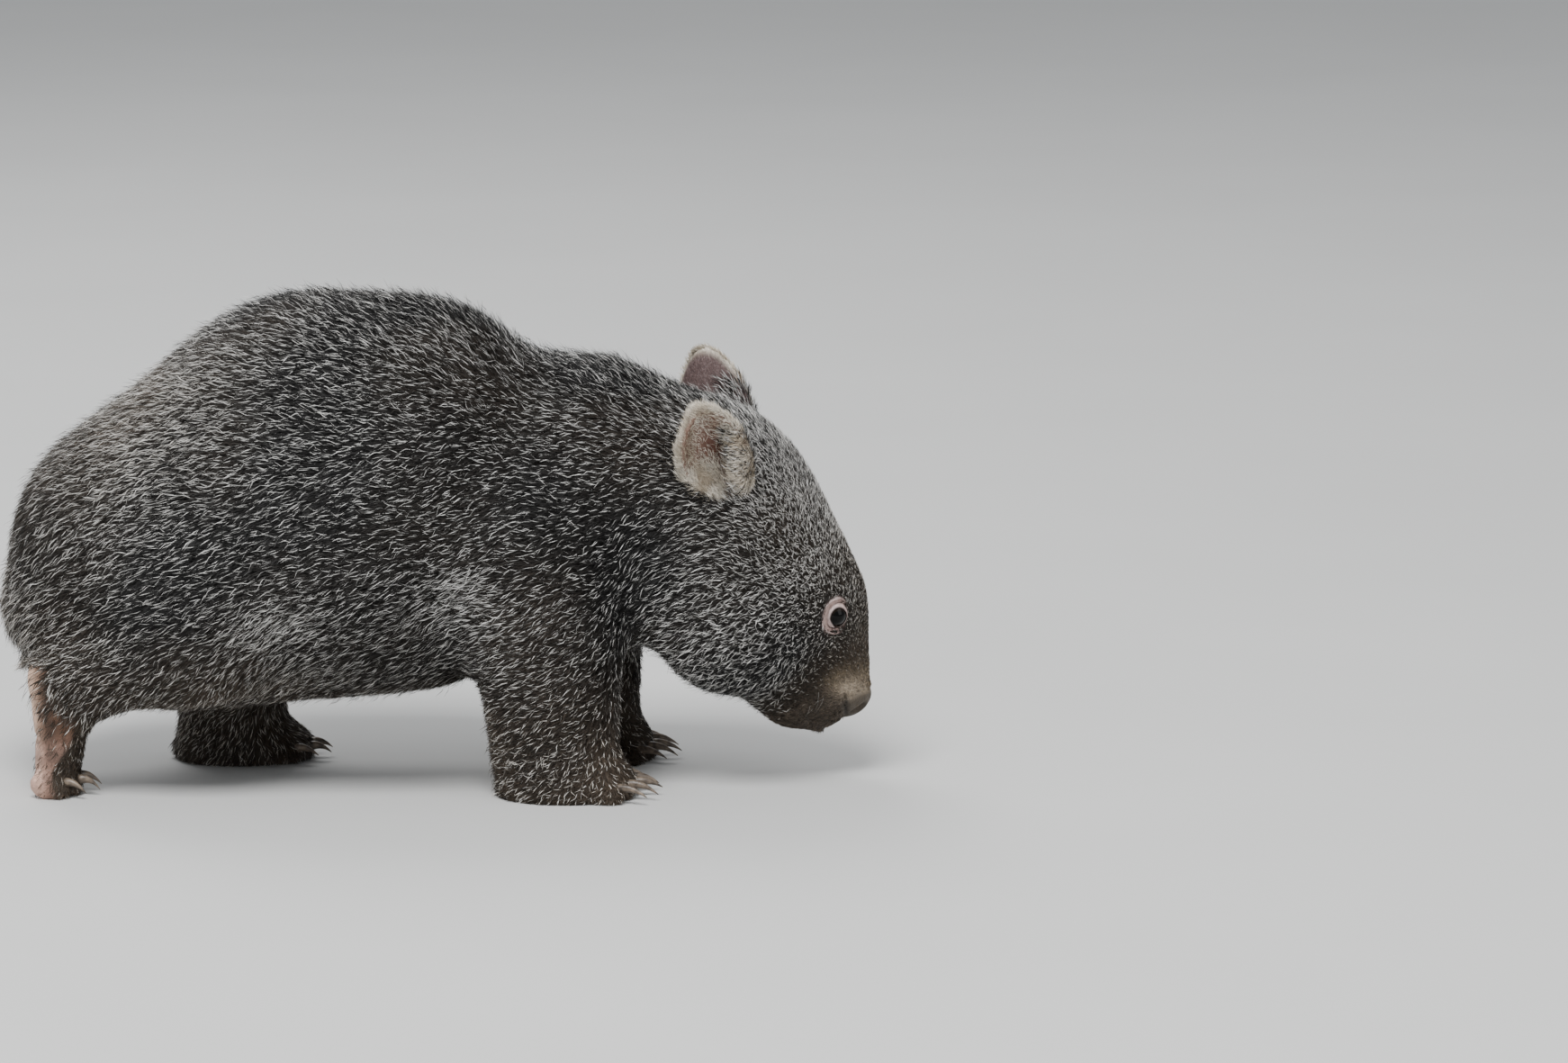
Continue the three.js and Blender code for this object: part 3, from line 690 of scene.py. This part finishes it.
def object_noise(tree, scale, kind="ShaderNodeTexNoise", detail=4):
    place = tree.nodes.new("ShaderNodeTexCoord")
    texture = tree.nodes.new(kind)
    texture.inputs["Scale"].default_value = scale
    texture.inputs["Detail"].default_value = detail
    tree.links.new(place.outputs["Object"], texture.inputs["Vector"])
    return texture.outputs["Fac" if "Fac" in texture.outputs else "Distance"]


def spread(tree, value, low, high):
    """A value from 0 to 1, spread from low to high."""
    ramp = tree.nodes.new("ShaderNodeMapRange")
    ramp.inputs["To Min"].default_value = low
    ramp.inputs["To Max"].default_value = high
    tree.links.new(value, ramp.inputs["Value"])
    return ramp.outputs["Result"]


def scaled(tree, colour, factor):
    node = tree.nodes.new("ShaderNodeVectorMath")
    node.operation = "SCALE"
    tree.links.new(colour, node.inputs[0])
    tree.links.new(factor, node.inputs["Scale"])
    return node.outputs["Vector"]


def add_bump(tree, shader, height, distance, strength=0.6):
    node = tree.nodes.new("ShaderNodeBump")
    node.inputs["Distance"].default_value = distance
    node.inputs["Strength"].default_value = strength
    tree.links.new(height, node.inputs["Height"])
    tree.links.new(node.outputs["Normal"], shader.inputs["Normal"])


def skin_look():
    made, tree, shader = new_look("skin", 0.6)
    blotches = spread(tree, object_noise(tree, 420), 0.6, 1.4)
    tree.links.new(scaled(tree, vertex_colour(tree), blotches), shader.inputs["Base Color"])
    tree.links.new(spread(tree, object_noise(tree, 260), 0.42, 0.75), shader.inputs["Roughness"])
    add_bump(tree, shader, object_noise(tree, 900, "ShaderNodeTexVoronoi", 0), 0.0007)
    return made


def hair_look():
    made, tree, shader = new_look("hair", 0.5)
    tree.links.new(vertex_colour(tree), shader.inputs["Base Color"])
    shader.inputs["Specular IOR Level"].default_value = 0.15
    return made


def eye_look():
    """A dark brown iris round a black pupil, by how far forward a point lies on the eyeball."""
    made, tree, shader = new_look("eye", 0.06, IOR=1.25)
    place = tree.nodes.new("ShaderNodeTexCoord")
    split = tree.nodes.new("ShaderNodeSeparateXYZ")
    ramp = tree.nodes.new("ShaderNodeMapRange")
    ramp.inputs["From Min"].default_value = 0.5 * EYE_RADIUS * MM
    ramp.inputs["From Max"].default_value = EYE_RADIUS * MM
    bands = tree.nodes.new("ShaderNodeValToRGB")
    stops = bands.color_ramp.elements
    stops[0].color = (0.02, 0.014, 0.012, 1)
    stops[1].color = (0.001, 0.001, 0.001, 1)
    for position, colour in (
        (0.22, (0.012, 0.007, 0.005, 1)),
        (0.60, (0.008, 0.005, 0.003, 1)),
        (0.68, (0.001, 0.001, 0.001, 1)),
    ):
        stops.new(position).color = colour
    tree.links.new(place.outputs["Object"], split.inputs[0])
    tree.links.new(split.outputs["X"], ramp.inputs["Value"])
    tree.links.new(ramp.outputs["Result"], bands.inputs["Fac"])
    streaks = spread(tree, object_noise(tree, 900), 0.6, 1.4)
    tree.links.new(scaled(tree, bands.outputs["Color"], streaks), shader.inputs["Base Color"])
    return made


def horn_look():
    made, tree, shader = new_look("horn", 0.38)
    ramp = tree.nodes.new("ShaderNodeValToRGB")
    ramp.color_ramp.elements[0].position = 0.35
    ramp.color_ramp.elements[0].color = (0.045, 0.034, 0.026, 1)
    ramp.color_ramp.elements[1].position = 0.7
    ramp.color_ramp.elements[1].color = (0.22, 0.17, 0.125, 1)
    tree.links.new(object_noise(tree, 190), ramp.inputs["Fac"])
    tree.links.new(ramp.outputs["Color"], shader.inputs["Base Color"])
    add_bump(tree, shader, object_noise(tree, 700), 0.0003)
    return made


# Hair

HAIRS = 610000
EAR_HAIRS = 20000
HAIRS_A_PIECE = 95000
PALE_SHARE = 0.36  # of all hairs, where the coat's map says 1
GUARD_SHARE = 0.7  # long hairs, and the rest is the shorter undercoat
STRAY_SHARE = 0.05  # hairs that stand out of the coat, and more of them on the back
PALE_WIDTH = 0.42 * MM
GUARD_WIDTH = 0.5 * MM
UNDER_WIDTH = 0.95 * MM
EAR_WIDTH = 0.34 * MM
LOWEST = 0.4 * MM  # no hair comes nearer to the floor
CELL = 5 * MM  # pale hairs are spread evenly over cells of this size
BEND_AT = 0.62  # how far along its length a hair bends and is widest
PATCH = 0.003  # a hair's width on the unwrap


def unwrap(obj):
    bpy.context.view_layer.objects.active = obj
    obj.select_set(True)
    bpy.ops.object.mode_set(mode="EDIT")
    bpy.ops.mesh.select_all(action="SELECT")
    bpy.ops.uv.smart_project(angle_limit=math.radians(66), island_margin=0.004)
    bpy.ops.object.mode_set(mode="OBJECT")
    obj.select_set(False)
    obj.data.uv_layers[0].name = "OFBake"


def scattered(mesh, count, density):
    """Random roots on a mesh, as thick as density at its vertices: their places, normals and places on
    the unwrap."""
    points, way = coordinates(mesh), normals(mesh)
    corners, loops = triangles(mesh)
    uv = np.empty(len(mesh.loops) * 2)
    mesh.uv_layers["OFBake"].data.foreach_get("uv", uv)
    a, b, c = (points[corners[:, k]] for k in range(3))
    area = np.linalg.norm(np.cross(b - a, c - a), axis=1) / 2
    share = np.cumsum(area * density[corners].mean(axis=1))
    chosen = np.searchsorted(share, rng.uniform(0, share[-1], count))
    chosen = np.minimum(chosen, len(corners) - 1)
    r1, r2 = np.sqrt(rng.uniform(size=count)), rng.uniform(size=count)
    weights = np.column_stack([1 - r1, r1 * (1 - r2), r1 * r2])[:, :, None]
    return {
        "at": (points[corners[chosen]] * weights).sum(axis=1),
        "up": unit((way[corners[chosen]] * weights).sum(axis=1)),
        "uv": (uv.reshape(-1, 2)[loops[chosen]] * weights).sum(axis=1),
    }


def add_hairs(name, hairs, look):
    """One mesh of flat, tapering hairs that leave the skin at an angle and bend back towards it. Each is
    two triangles, widest where it bends."""
    at, up = hairs["at"], hairs["up"]
    flat = unit(hairs["way"] - (hairs["way"] * up).sum(axis=1, keepdims=True) * up)
    side = np.cross(up, flat)
    roll, lift, bend = hairs["roll"], hairs["lift"], hairs["bend"]
    broad = side * np.cos(roll)[:, None] + up * np.sin(roll)[:, None]
    first = flat * np.cos(lift)[:, None] + up * np.sin(lift)[:, None]
    second = flat * np.cos(lift - bend)[:, None] + up * np.sin(lift - bend)[:, None]
    second += side * hairs["curl"][:, None]
    length, half = hairs["length"][:, None], hairs["width"][:, None] / 2
    middle = at + first * length * BEND_AT
    tip = middle + second * length * (1 - BEND_AT)
    for end in (middle, tip):
        end[:, 2] = np.maximum(end[:, 2], LOWEST)
    points = np.stack([at, middle - broad * half, middle + broad * half, tip], axis=1).reshape(-1, 3)
    base = np.arange(len(at))[:, None] * 4
    faces = np.concatenate([base + [0, 2, 1], base + [1, 2, 3]], axis=1).reshape(-1, 3)
    mesh = mesh_from(name, points, faces)
    tints = np.stack([hairs["root"], hairs["middle"], hairs["middle"], hairs["tip"]], axis=1)
    set_colours(mesh, tints.reshape(-1, 3))
    corner = np.array([[0, -0.5], [-0.5, 0.1], [0.5, 0.1], [0, 0.5]]) * PATCH
    uv = np.clip((hairs["uv"][:, None, :] + corner).reshape(-1, 2), 0.001, 0.999)
    mesh.uv_layers.new(name="OFBake").data.foreach_set("uv", uv[faces.ravel()].ravel())
    add_piece(name, mesh, look, "coat")


def face_share(points):
    """1 on the head in front of the ears, fading over the neck."""
    return smooth(-40, 50, moved_by(INTO_HEAD, points)[:, 0] / MM)


def ear_places(points, side):
    """1 low in the ear's cup, and 1 on the fold along its front."""
    _, forwards, up = local_to(ear_frame(side), side, points)
    return smooth(2, -22, up), smooth(10, 15, forwards) * smooth(24, 8, up)


def coat_density(points, way, ears):
    """How thickly the coat grows at the skin's vertices."""
    density = (1 + 0.9 * face_share(points)) * smooth(0.6, 1.1, nearest_eye_ring(points))
    for side in SIDES:
        _, fold = ear_places(points, side)
        density = density * (1 - ears[side] * (1 - 0.7 * fold))
    density = density * (1 - smooth(0.0, 0.5, nose_pad(points)[0])) * (1 - 0.5 * beside_nose(points))
    bare = smooth(0.05, 0.5, raised_sole(points, way)) * (1 - 0.1 * sole_front(points))
    return density * (1 - bare) * smooth(1, 3, points[:, 2] / MM)


def turned(up, way, angle):
    """Directions turned about the skin's normals."""
    ahead = unit(way)
    return ahead * np.cos(angle)[:, None] + np.cross(up, ahead) * np.sin(angle)[:, None]


def ear_base(points):
    """How near points lie to the front of an ear's base, and the lie of the hair there, up over the ear."""
    near, way = np.zeros(len(points)), np.zeros((len(points), 3))
    for side, sign in SIDES.items():
        frame_at = ear_frame(side)
        out, forwards, up = local_to(frame_at, side, points)
        share = bump(np.hypot((forwards - 16) / 15, (up + 26) / 20), 0, 1) * smooth(34, 22, np.abs(out))
        near = np.maximum(near, share)
        lie = np.array(frame_at.col[2][:3]) + 0.6 * sign * np.array(frame_at.col[1][:3])
        way += share[:, None] * lie
    return near, way


def evenly_chosen(at, chance):
    """True for as many points as their chances add up to, spread evenly over the cells of a grid."""
    cells = np.floor(at / CELL)
    order = np.lexsort((cells[:, 2], cells[:, 1], cells[:, 0]))
    steps = np.floor(np.cumsum(chance[order]))
    chosen = np.empty(len(at), dtype=bool)
    chosen[order] = np.diff(steps, prepend=0) > 0
    return chosen


def grow_coat(mesh, ears, look):
    """The coat of the whole body. Each hair is dark at its root, and the pale ones have silver or tan
    tips. On the face they are coarser and curl more."""
    roots = scattered(mesh, HAIRS, coat_density(coordinates(mesh), normals(mesh), ears))
    at, up = roots["at"], roots["up"]
    coat = coat_at(at)
    count = len(at)
    near, over = ear_base(at)
    coat["way"] = mixed(coat["way"], over, near)
    coat["length"] = coat["length"] + 5 * MM * near
    long = smooth(6 * MM, 13 * MM, coat["length"])
    muzzle = muzzle_share(at)
    guard = rng.uniform(size=count) < GUARD_SHARE
    coarse = face_share(at) * smooth(4 * MM, 6 * MM, coat["length"])
    chance = PALE_SHARE * coat["pale"] * (1 + 0.2 * patches(at, 90, 6))
    chance = chance * (1 - muzzle) / (1 + 0.6 * coarse)
    pale = evenly_chosen(at, np.clip(chance, 0, 0.9))
    guard = guard | pale
    stray = rng.uniform(size=count) < STRAY_SHARE + 0.12 * smooth(0.4, 0.9, up[:, 2])
    clump = (0.5 + 0.5 * patches(at, 700, 12)) * (1 + 1.2 * coarse)

    lift = np.arcsin(np.clip(coat["depth"] / coat["length"], 0.05, 0.8))
    lift = lift * (rng.uniform(0.6, 1.25, count) + 0.12 * clump) + np.where(pale, 0.05, -0.04)
    lift += stray * rng.uniform(0.1, 0.7, count) * long + 0.4 * near
    swirl = 0.16 * patches(at, 110, 8) + 0.14 * patches(at, 420, 9)
    ground = ground_colour(at, coat)
    ground = mixed(ground, muzzle_colour(at), muzzle) * rng.uniform(0.4, 1.6, count)[:, None]
    silver = mixed(SILVER, TAN, np.clip(coat["brown"] * rng.uniform(0.3, 1.0, count), 0, 1))
    share = np.where(pale, rng.uniform(0.55 + 0.2 * coarse, 1.0, count), rng.uniform(0, 0.03, count))
    share = share * (0.45 + 0.55 * smooth(3.5 * MM, 6.5 * MM, coat["length"]))
    width = np.where(pale, PALE_WIDTH, np.where(guard, GUARD_WIDTH, UNDER_WIDTH))

    hairs = roots | {
        "way": turned(up, coat["way"], swirl + rng.normal(0, 0.2 + 0.25 * (1 - long), count)),
        "length": coat["length"] * rng.uniform(0.7, 1.15, count) * np.where(guard, 1.0, 0.75),
        "width": width * (0.7 + 0.3 * long + 0.5 * coarse * pale) * rng.uniform(0.75, 1.25, count),
        "lift": lift,
        "bend": lift * rng.uniform(0.1, 0.9, count),
        "curl": rng.normal(0, 0.28, count) * (1 + 1.1 * coarse),
        "roll": rng.normal(0, 0.5, count),
        "root": ground * 0.4,
        "middle": mixed(ground, silver, share * rng.uniform(0.6 - 0.2 * coarse, 1.0, count)),
        "tip": mixed(ground, silver, share),
    }
    order = np.argsort(at[:, 0])
    for i, chosen in enumerate(np.array_split(order, math.ceil(count / HAIRS_A_PIECE))):
        add_hairs(f"coat_{i + 1}", {key: value[chosen] for key, value in hairs.items()}, look)


def grow_ear(mesh, ears, side, look):
    """Pale hair inside the cup and along its rim, and thin short down on its back."""
    inner, rim, deep = ear_zones(coordinates(mesh), normals(mesh), side)
    low, fold = ear_places(coordinates(mesh), side)
    density = ears[side] * (0.5 + inner * (0.7 * low + fold - 0.3) + 1.6 * rim) * (1 - 0.97 * deep)
    roots = scattered(mesh, EAR_HAIRS, density)
    at, up = roots["at"], roots["up"]
    count = len(at)
    inner, rim, deep = ear_zones(at, up, side)
    low, fold = ear_places(at, side)
    frame_at = ear_frame(side)
    up_ear, ahead = np.array(frame_at.col[2][:3]), -SIDES[side] * np.array(frame_at.col[1][:3])
    sweep = (0.5 * inner * (1 - fold) - 1.1 * inner * fold)[:, None] * -ahead
    way = up_ear * (1 - 0.9 * fold * inner)[:, None] + sweep * np.sign(1 - 2 * fold)[:, None]
    cream = mixed(CREAM, TAN * 0.8, np.clip(0.4 + 0.6 * patches(at, 260, 14) - 0.5 * rim, 0, 1))
    tip = mixed(EAR_BACK * 1.1, cream, np.clip(inner + rim, 0, 1)) * rng.uniform(0.6, 1.25, count)[:, None]
    lift = 0.22 + 0.3 * inner * rng.uniform(0, 1, count)
    hairs = roots | {
        "way": turned(up, way, rng.normal(0, 0.35, count)),
        "length": (2.4 + 4.2 * inner + 4.0 * inner * low) * MM * rng.uniform(0.6, 1.3, count),
        "width": EAR_WIDTH * rng.uniform(0.7, 1.3, count),
        "lift": lift,
        "bend": lift * rng.uniform(0.2, 1.0, count),
        "curl": rng.normal(0, 0.3, count),
        "roll": rng.normal(0, 0.6, count),
        "root": tip * 0.7,
        "middle": tip,
        "tip": tip,
    }
    add_hairs("ear_hair_" + side, hairs, look)


# Eyes, lids, claws and whiskers


def make_eye(side, look):
    mesh = bpy.data.meshes.new("eye_ball_" + side)
    ball = bmesh.new()
    bmesh.ops.create_uvsphere(ball, u_segments=48, v_segments=32, radius=EYE_RADIUS * MM)
    bmesh.ops.rotate(ball, verts=ball.verts, matrix=Matrix.Rotation(math.radians(90), 3, "Y"))
    for v in ball.verts:
        dome = max(0.0, v.co.x / (EYE_RADIUS * MM) - 0.72) / 0.28
        v.co.x += 0.6 * MM * dome**2
    ball.to_mesh(mesh)
    ball.free()
    shade_smooth(mesh)
    obj = new_object("eye_ball_" + side, mesh, look)
    obj.matrix_world = eye_frame(side)
    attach(obj, "root")
    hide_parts("eye_" + side)


LID_STEPS = np.array(
    [0, 0.2, 0.5, 0.8, 1.1, 1.5, 2, 2.6, 3.3, 4, 4.6, 5, 5.3, 5.6, 5.9, 6.3, 7, 8, 9.2, 10.6, 12, 14]
)  # how far the rows of the lids' mesh lie from their edge, of 14
LID_COLUMNS = 96
LID_UNDER = 1.2  # how far past the bare skin the lids go on, under the hair
CREASE_AT = 3.4  # how far from the lids' edge the crease above the eye runs


def make_lids(side, look, tree):
    """The lids: from the eyeball's surface over a thin moist edge, then out to the face, with a crease
    above and behind the eye, whose colour is darkened there as painted shade."""
    frame_at = eye_frame(side)
    rows, colours = [], []
    for a in np.linspace(0, 2 * math.pi, LID_COLUMNS, endpoint=False):
        edge = np.array(eye_opening(a))
        ray = edge / np.linalg.norm(edge)
        reach = lid_reach(a) + LID_UNDER
        above = max(0.0, math.sin(a + 0.35)) ** 0.5
        for past in LID_STEPS * reach / LID_STEPS[-1]:
            forwards, up = edge + ray * past
            y = -SIDES[side] * forwards
            far2 = y * y + up * up
            ball = math.sqrt(max(EYE_RADIUS**2 - far2, 0)) + 0.5
            hit, *_ = tree.ray_cast(
                frame_at @ Vector((30 * MM, y * MM, up * MM)), frame_at.to_3x3() @ Vector((-1, 0, 0))
            )
            face = (frame_at.inverted() @ hit).x / MM if hit else 4.0
            t = past / reach
            over = smooth(0.1, 0.9, t)
            x = ball * (1 - over) + (face + 0.9 - 3.2 * smooth(0.82, 1.0, t)) * over
            x = max(x, ball * (past < 4))
            x += 0.5 * bump(past, 0.8, 0.6) - 1.3 * above * bump(past, CREASE_AT, 0.6)
            x += 0.8 * above * bump(past, 5.2, 1.3) + 0.25 * bump(past, 2.2, 0.9)
            rows.append(frame_at @ (Vector((x, y, up)) * MM))
            rear = max(0.0, math.cos(a - 2.9)) ** 0.6
            pale = (0.3 + 0.7 * rear) * smooth(1.3 + rear, 0.55, t)
            colour = BROW + (LID - BROW) * pale
            colour = colour * (1 - 0.85 * bump(past, 0.2, 0.5))
            # painted shade: the colour darkens along the crease above the eye
            colour = colour * (1 - 0.85 * above * bump(past, CREASE_AT, 0.6))
            front = max(0.0, math.cos(a)) ** 2
            colour = colour * (1 - 0.8 * front * smooth(0.1, 0.5, t))
            colours.append(colour * (1 - 0.6 * (1 - rear) * smooth(0.7, 1.0, t)))
    faces = grid_faces(LID_COLUMNS, len(LID_STEPS), False)
    seam = np.arange(len(LID_STEPS) - 1)
    last = (LID_COLUMNS - 1) * len(LID_STEPS)
    faces = np.vstack([faces, np.column_stack([last + seam, last + seam + 1, seam + 1, seam])])
    mesh = mesh_from("lids_" + side, np.array(rows), faces)
    set_colours(mesh, np.array(colours))
    shade_smooth(mesh)
    add_piece("lids_" + side, mesh, look, "coat")


CLAW_HALF = 3.3 * MM  # half a claw's thickness at its root
CLAW_ARCH = 2.2 * MM


def make_claw(node, look):
    """A smooth arched horn along the node's long axis."""
    points = coordinates(NODES[node].data)
    centre = points.mean(axis=0)
    flat = (points - centre) * [1, 1, 0]
    ahead = np.linalg.svd(flat, full_matrices=False)[2][0]
    ahead = ahead * np.sign(ahead[0])
    along = flat @ ahead
    length = along.max() - along.min()
    root = centre + ahead * along.min()
    root[2] = points[along < along.min() + 0.2 * length][:, 2].mean()
    fall = points[np.argmax(along)][2] + 0.6 * MM - root[2]
    aside = np.array([-ahead[1], ahead[0], 0])
    rings, sides = 9, 12
    made = []
    for t in np.linspace(0, 1, rings):
        middle = root + ahead * length * (t * 1.12 - 0.12)
        middle[2] += CLAW_ARCH * math.sin(math.pi * t * 0.8) + fall * t * t
        half = CLAW_HALF * (1 - 0.9 * t**1.3)
        for a in np.linspace(0, 2 * math.pi, sides, endpoint=False):
            made.append(middle + aside * half * math.cos(a) + np.array([0, 0, half * 1.15 * math.sin(a)]))
    mesh = mesh_from(node + "_horn", np.array(made), grid_faces(rings, sides, True))
    bm = bmesh.new()
    bm.from_mesh(mesh)
    bmesh.ops.holes_fill(bm, edges=bm.edges, sides=sides)
    bmesh.ops.recalc_face_normals(bm, faces=bm.faces)
    bm.to_mesh(mesh)
    bm.free()
    shade_smooth(mesh)
    add_piece(node + "_horn", mesh, look, "claws", node)


# Where whiskers grow, in millimetres of the head's frame: how many, from and to along X and Z, and lengths.
WHISKERS = [
    (20, (100, 120), (-30, -12), (9, 17)),
    (6, (60, 68), (44, 49), (12, 20)),
    (6, (50, 62), (-22, -4), (12, 20)),
]


def make_whiskers(tree, look):
    turn = HEAD.to_3x3()
    rings, sides = 6, 3
    rows, shades = [], []
    for count, xs, zs, lengths in WHISKERS:
        for i in range(2 * count):
            sign = 1 if i % 2 else -1
            origin = HEAD @ (Vector((rng.uniform(*xs), sign * 130, rng.uniform(*zs))) * MM)
            hit, normal, *_ = tree.ray_cast(origin, turn @ Vector((0, -sign, 0)))
            length = rng.uniform(*lengths) * MM
            back = turn @ Vector((rng.uniform(-0.5, 0.4), sign * 0.2, rng.uniform(-0.6, 0.0)))
            tone = 0.012 if rng.uniform() < 0.75 else 0.3
            if not hit:
                continue
            way = (normal * 0.7 + back).normalized()
            sag = turn @ Vector((-0.12, 0, -0.25)) * length
            side = way.cross(Vector((0.3, 0.2, 0.9))).normalized()
            over = way.cross(side)
            for t in np.linspace(0, 1, rings):
                middle = hit + way * (length * t - 1.0 * MM) + sag * t * t
                half = (0.13 * (1 - t) + 0.02) * MM
                for a in np.linspace(0, 2 * math.pi, sides, endpoint=False):
                    rows.append(middle + side * half * math.cos(a) + over * half * math.sin(a))
                    shades.append([tone, tone * 0.95, tone * 0.9])
    one = grid_faces(rings, sides, True)
    starts = np.arange(len(rows) // (rings * sides))[:, None, None] * rings * sides
    mesh = mesh_from("whiskers", np.array(rows), (starts + one).reshape(-1, 4))
    set_colours(mesh, np.array(shades))
    shade_smooth(mesh)
    add_piece("whiskers", mesh, look, "coat")


# Camera, floor and light

CAMERA_UP = math.radians(10)
CAMERA_FAR = 5.5
SENSOR = 36  # millimetres
AIM = Vector((249.8, 0, 178.5)) * MM  # the point at the middle of the picture
FLOOR_HALF = 9.0
LAMPS = [
    # name, place, size, power
    ("key", (-0.4, -2.2, 3.6), 1.8, 230),
    ("fill", (2.6, -1.6, 1.6), 2.0, 26),
    ("back", (-1.0, 2.4, 3.0), 2.0, 80),
]


def set_stage():
    corners = np.array([[-1, -1, 0], [1, -1, 0], [1, 1, 0], [-1, 1, 0]]) * FLOOR_HALF
    look, tree, shader = new_look("floor", 0.9)
    grey = tree.nodes.new("ShaderNodeRGB")
    grey.outputs[0].default_value = (0.56, 0.56, 0.55, 1)
    clouds = spread(tree, object_noise(tree, 3), 0.96, 1.04)
    tree.links.new(scaled(tree, grey.outputs[0], clouds), shader.inputs["Base Color"])
    new_object("floor", mesh_from("floor", corners, np.array([[0, 1, 2, 3]])), look)

    world = bpy.data.worlds.new("sky")
    world.use_nodes = True
    background = world.node_tree.nodes["Background"]
    background.inputs["Color"].default_value = (0.88, 0.91, 0.95, 1)
    background.inputs["Strength"].default_value = 0.55
    bpy.context.scene.world = world

    for name, place, size, power in LAMPS:
        lamp = bpy.data.lights.new(name, "AREA")
        lamp.size = size
        lamp.energy = power
        obj = bpy.data.objects.new(name, lamp)
        obj.location = place
        obj.rotation_euler = (Vector((0, 0, 0.15)) - Vector(place)).to_track_quat("-Z", "Y").to_euler()
        bpy.context.scene.collection.objects.link(obj)


def set_camera():
    camera = bpy.data.cameras.new("camera")
    camera.sensor_width = SENSOR
    camera.lens = SENSOR * CAMERA_FAR / (ACROSS / PIXELS_PER_MM * MM)
    camera.clip_end = 100
    obj = bpy.data.objects.new("camera", camera)
    back = Vector((0, -math.cos(CAMERA_UP), math.sin(CAMERA_UP)))
    obj.location = AIM + back * CAMERA_FAR
    obj.rotation_euler = (-back).to_track_quat("-Z", "Y").to_euler()
    bpy.context.scene.collection.objects.link(obj)
    bpy.context.scene.camera = obj


def build():
    set_stage()
    set_camera()
    skin, hair, horn, wet = skin_look(), hair_look(), horn_look(), eye_look()
    mesh, ears = make_skin()
    set_colours(mesh, skin_colours(coordinates(mesh), normals(mesh), ears))
    unwrap(add_piece("skin", mesh, skin, "coat", *FLESH))
    tree = tree_of(mesh)
    for side in SIDES:
        make_eye(side, wet)
        make_lids(side, skin, tree)
        grow_ear(mesh, ears, side, hair)
    for node in CLAWS:
        make_claw(node, horn)
    make_whiskers(tree, hair)
    grow_coat(mesh, ears, hair)


build()
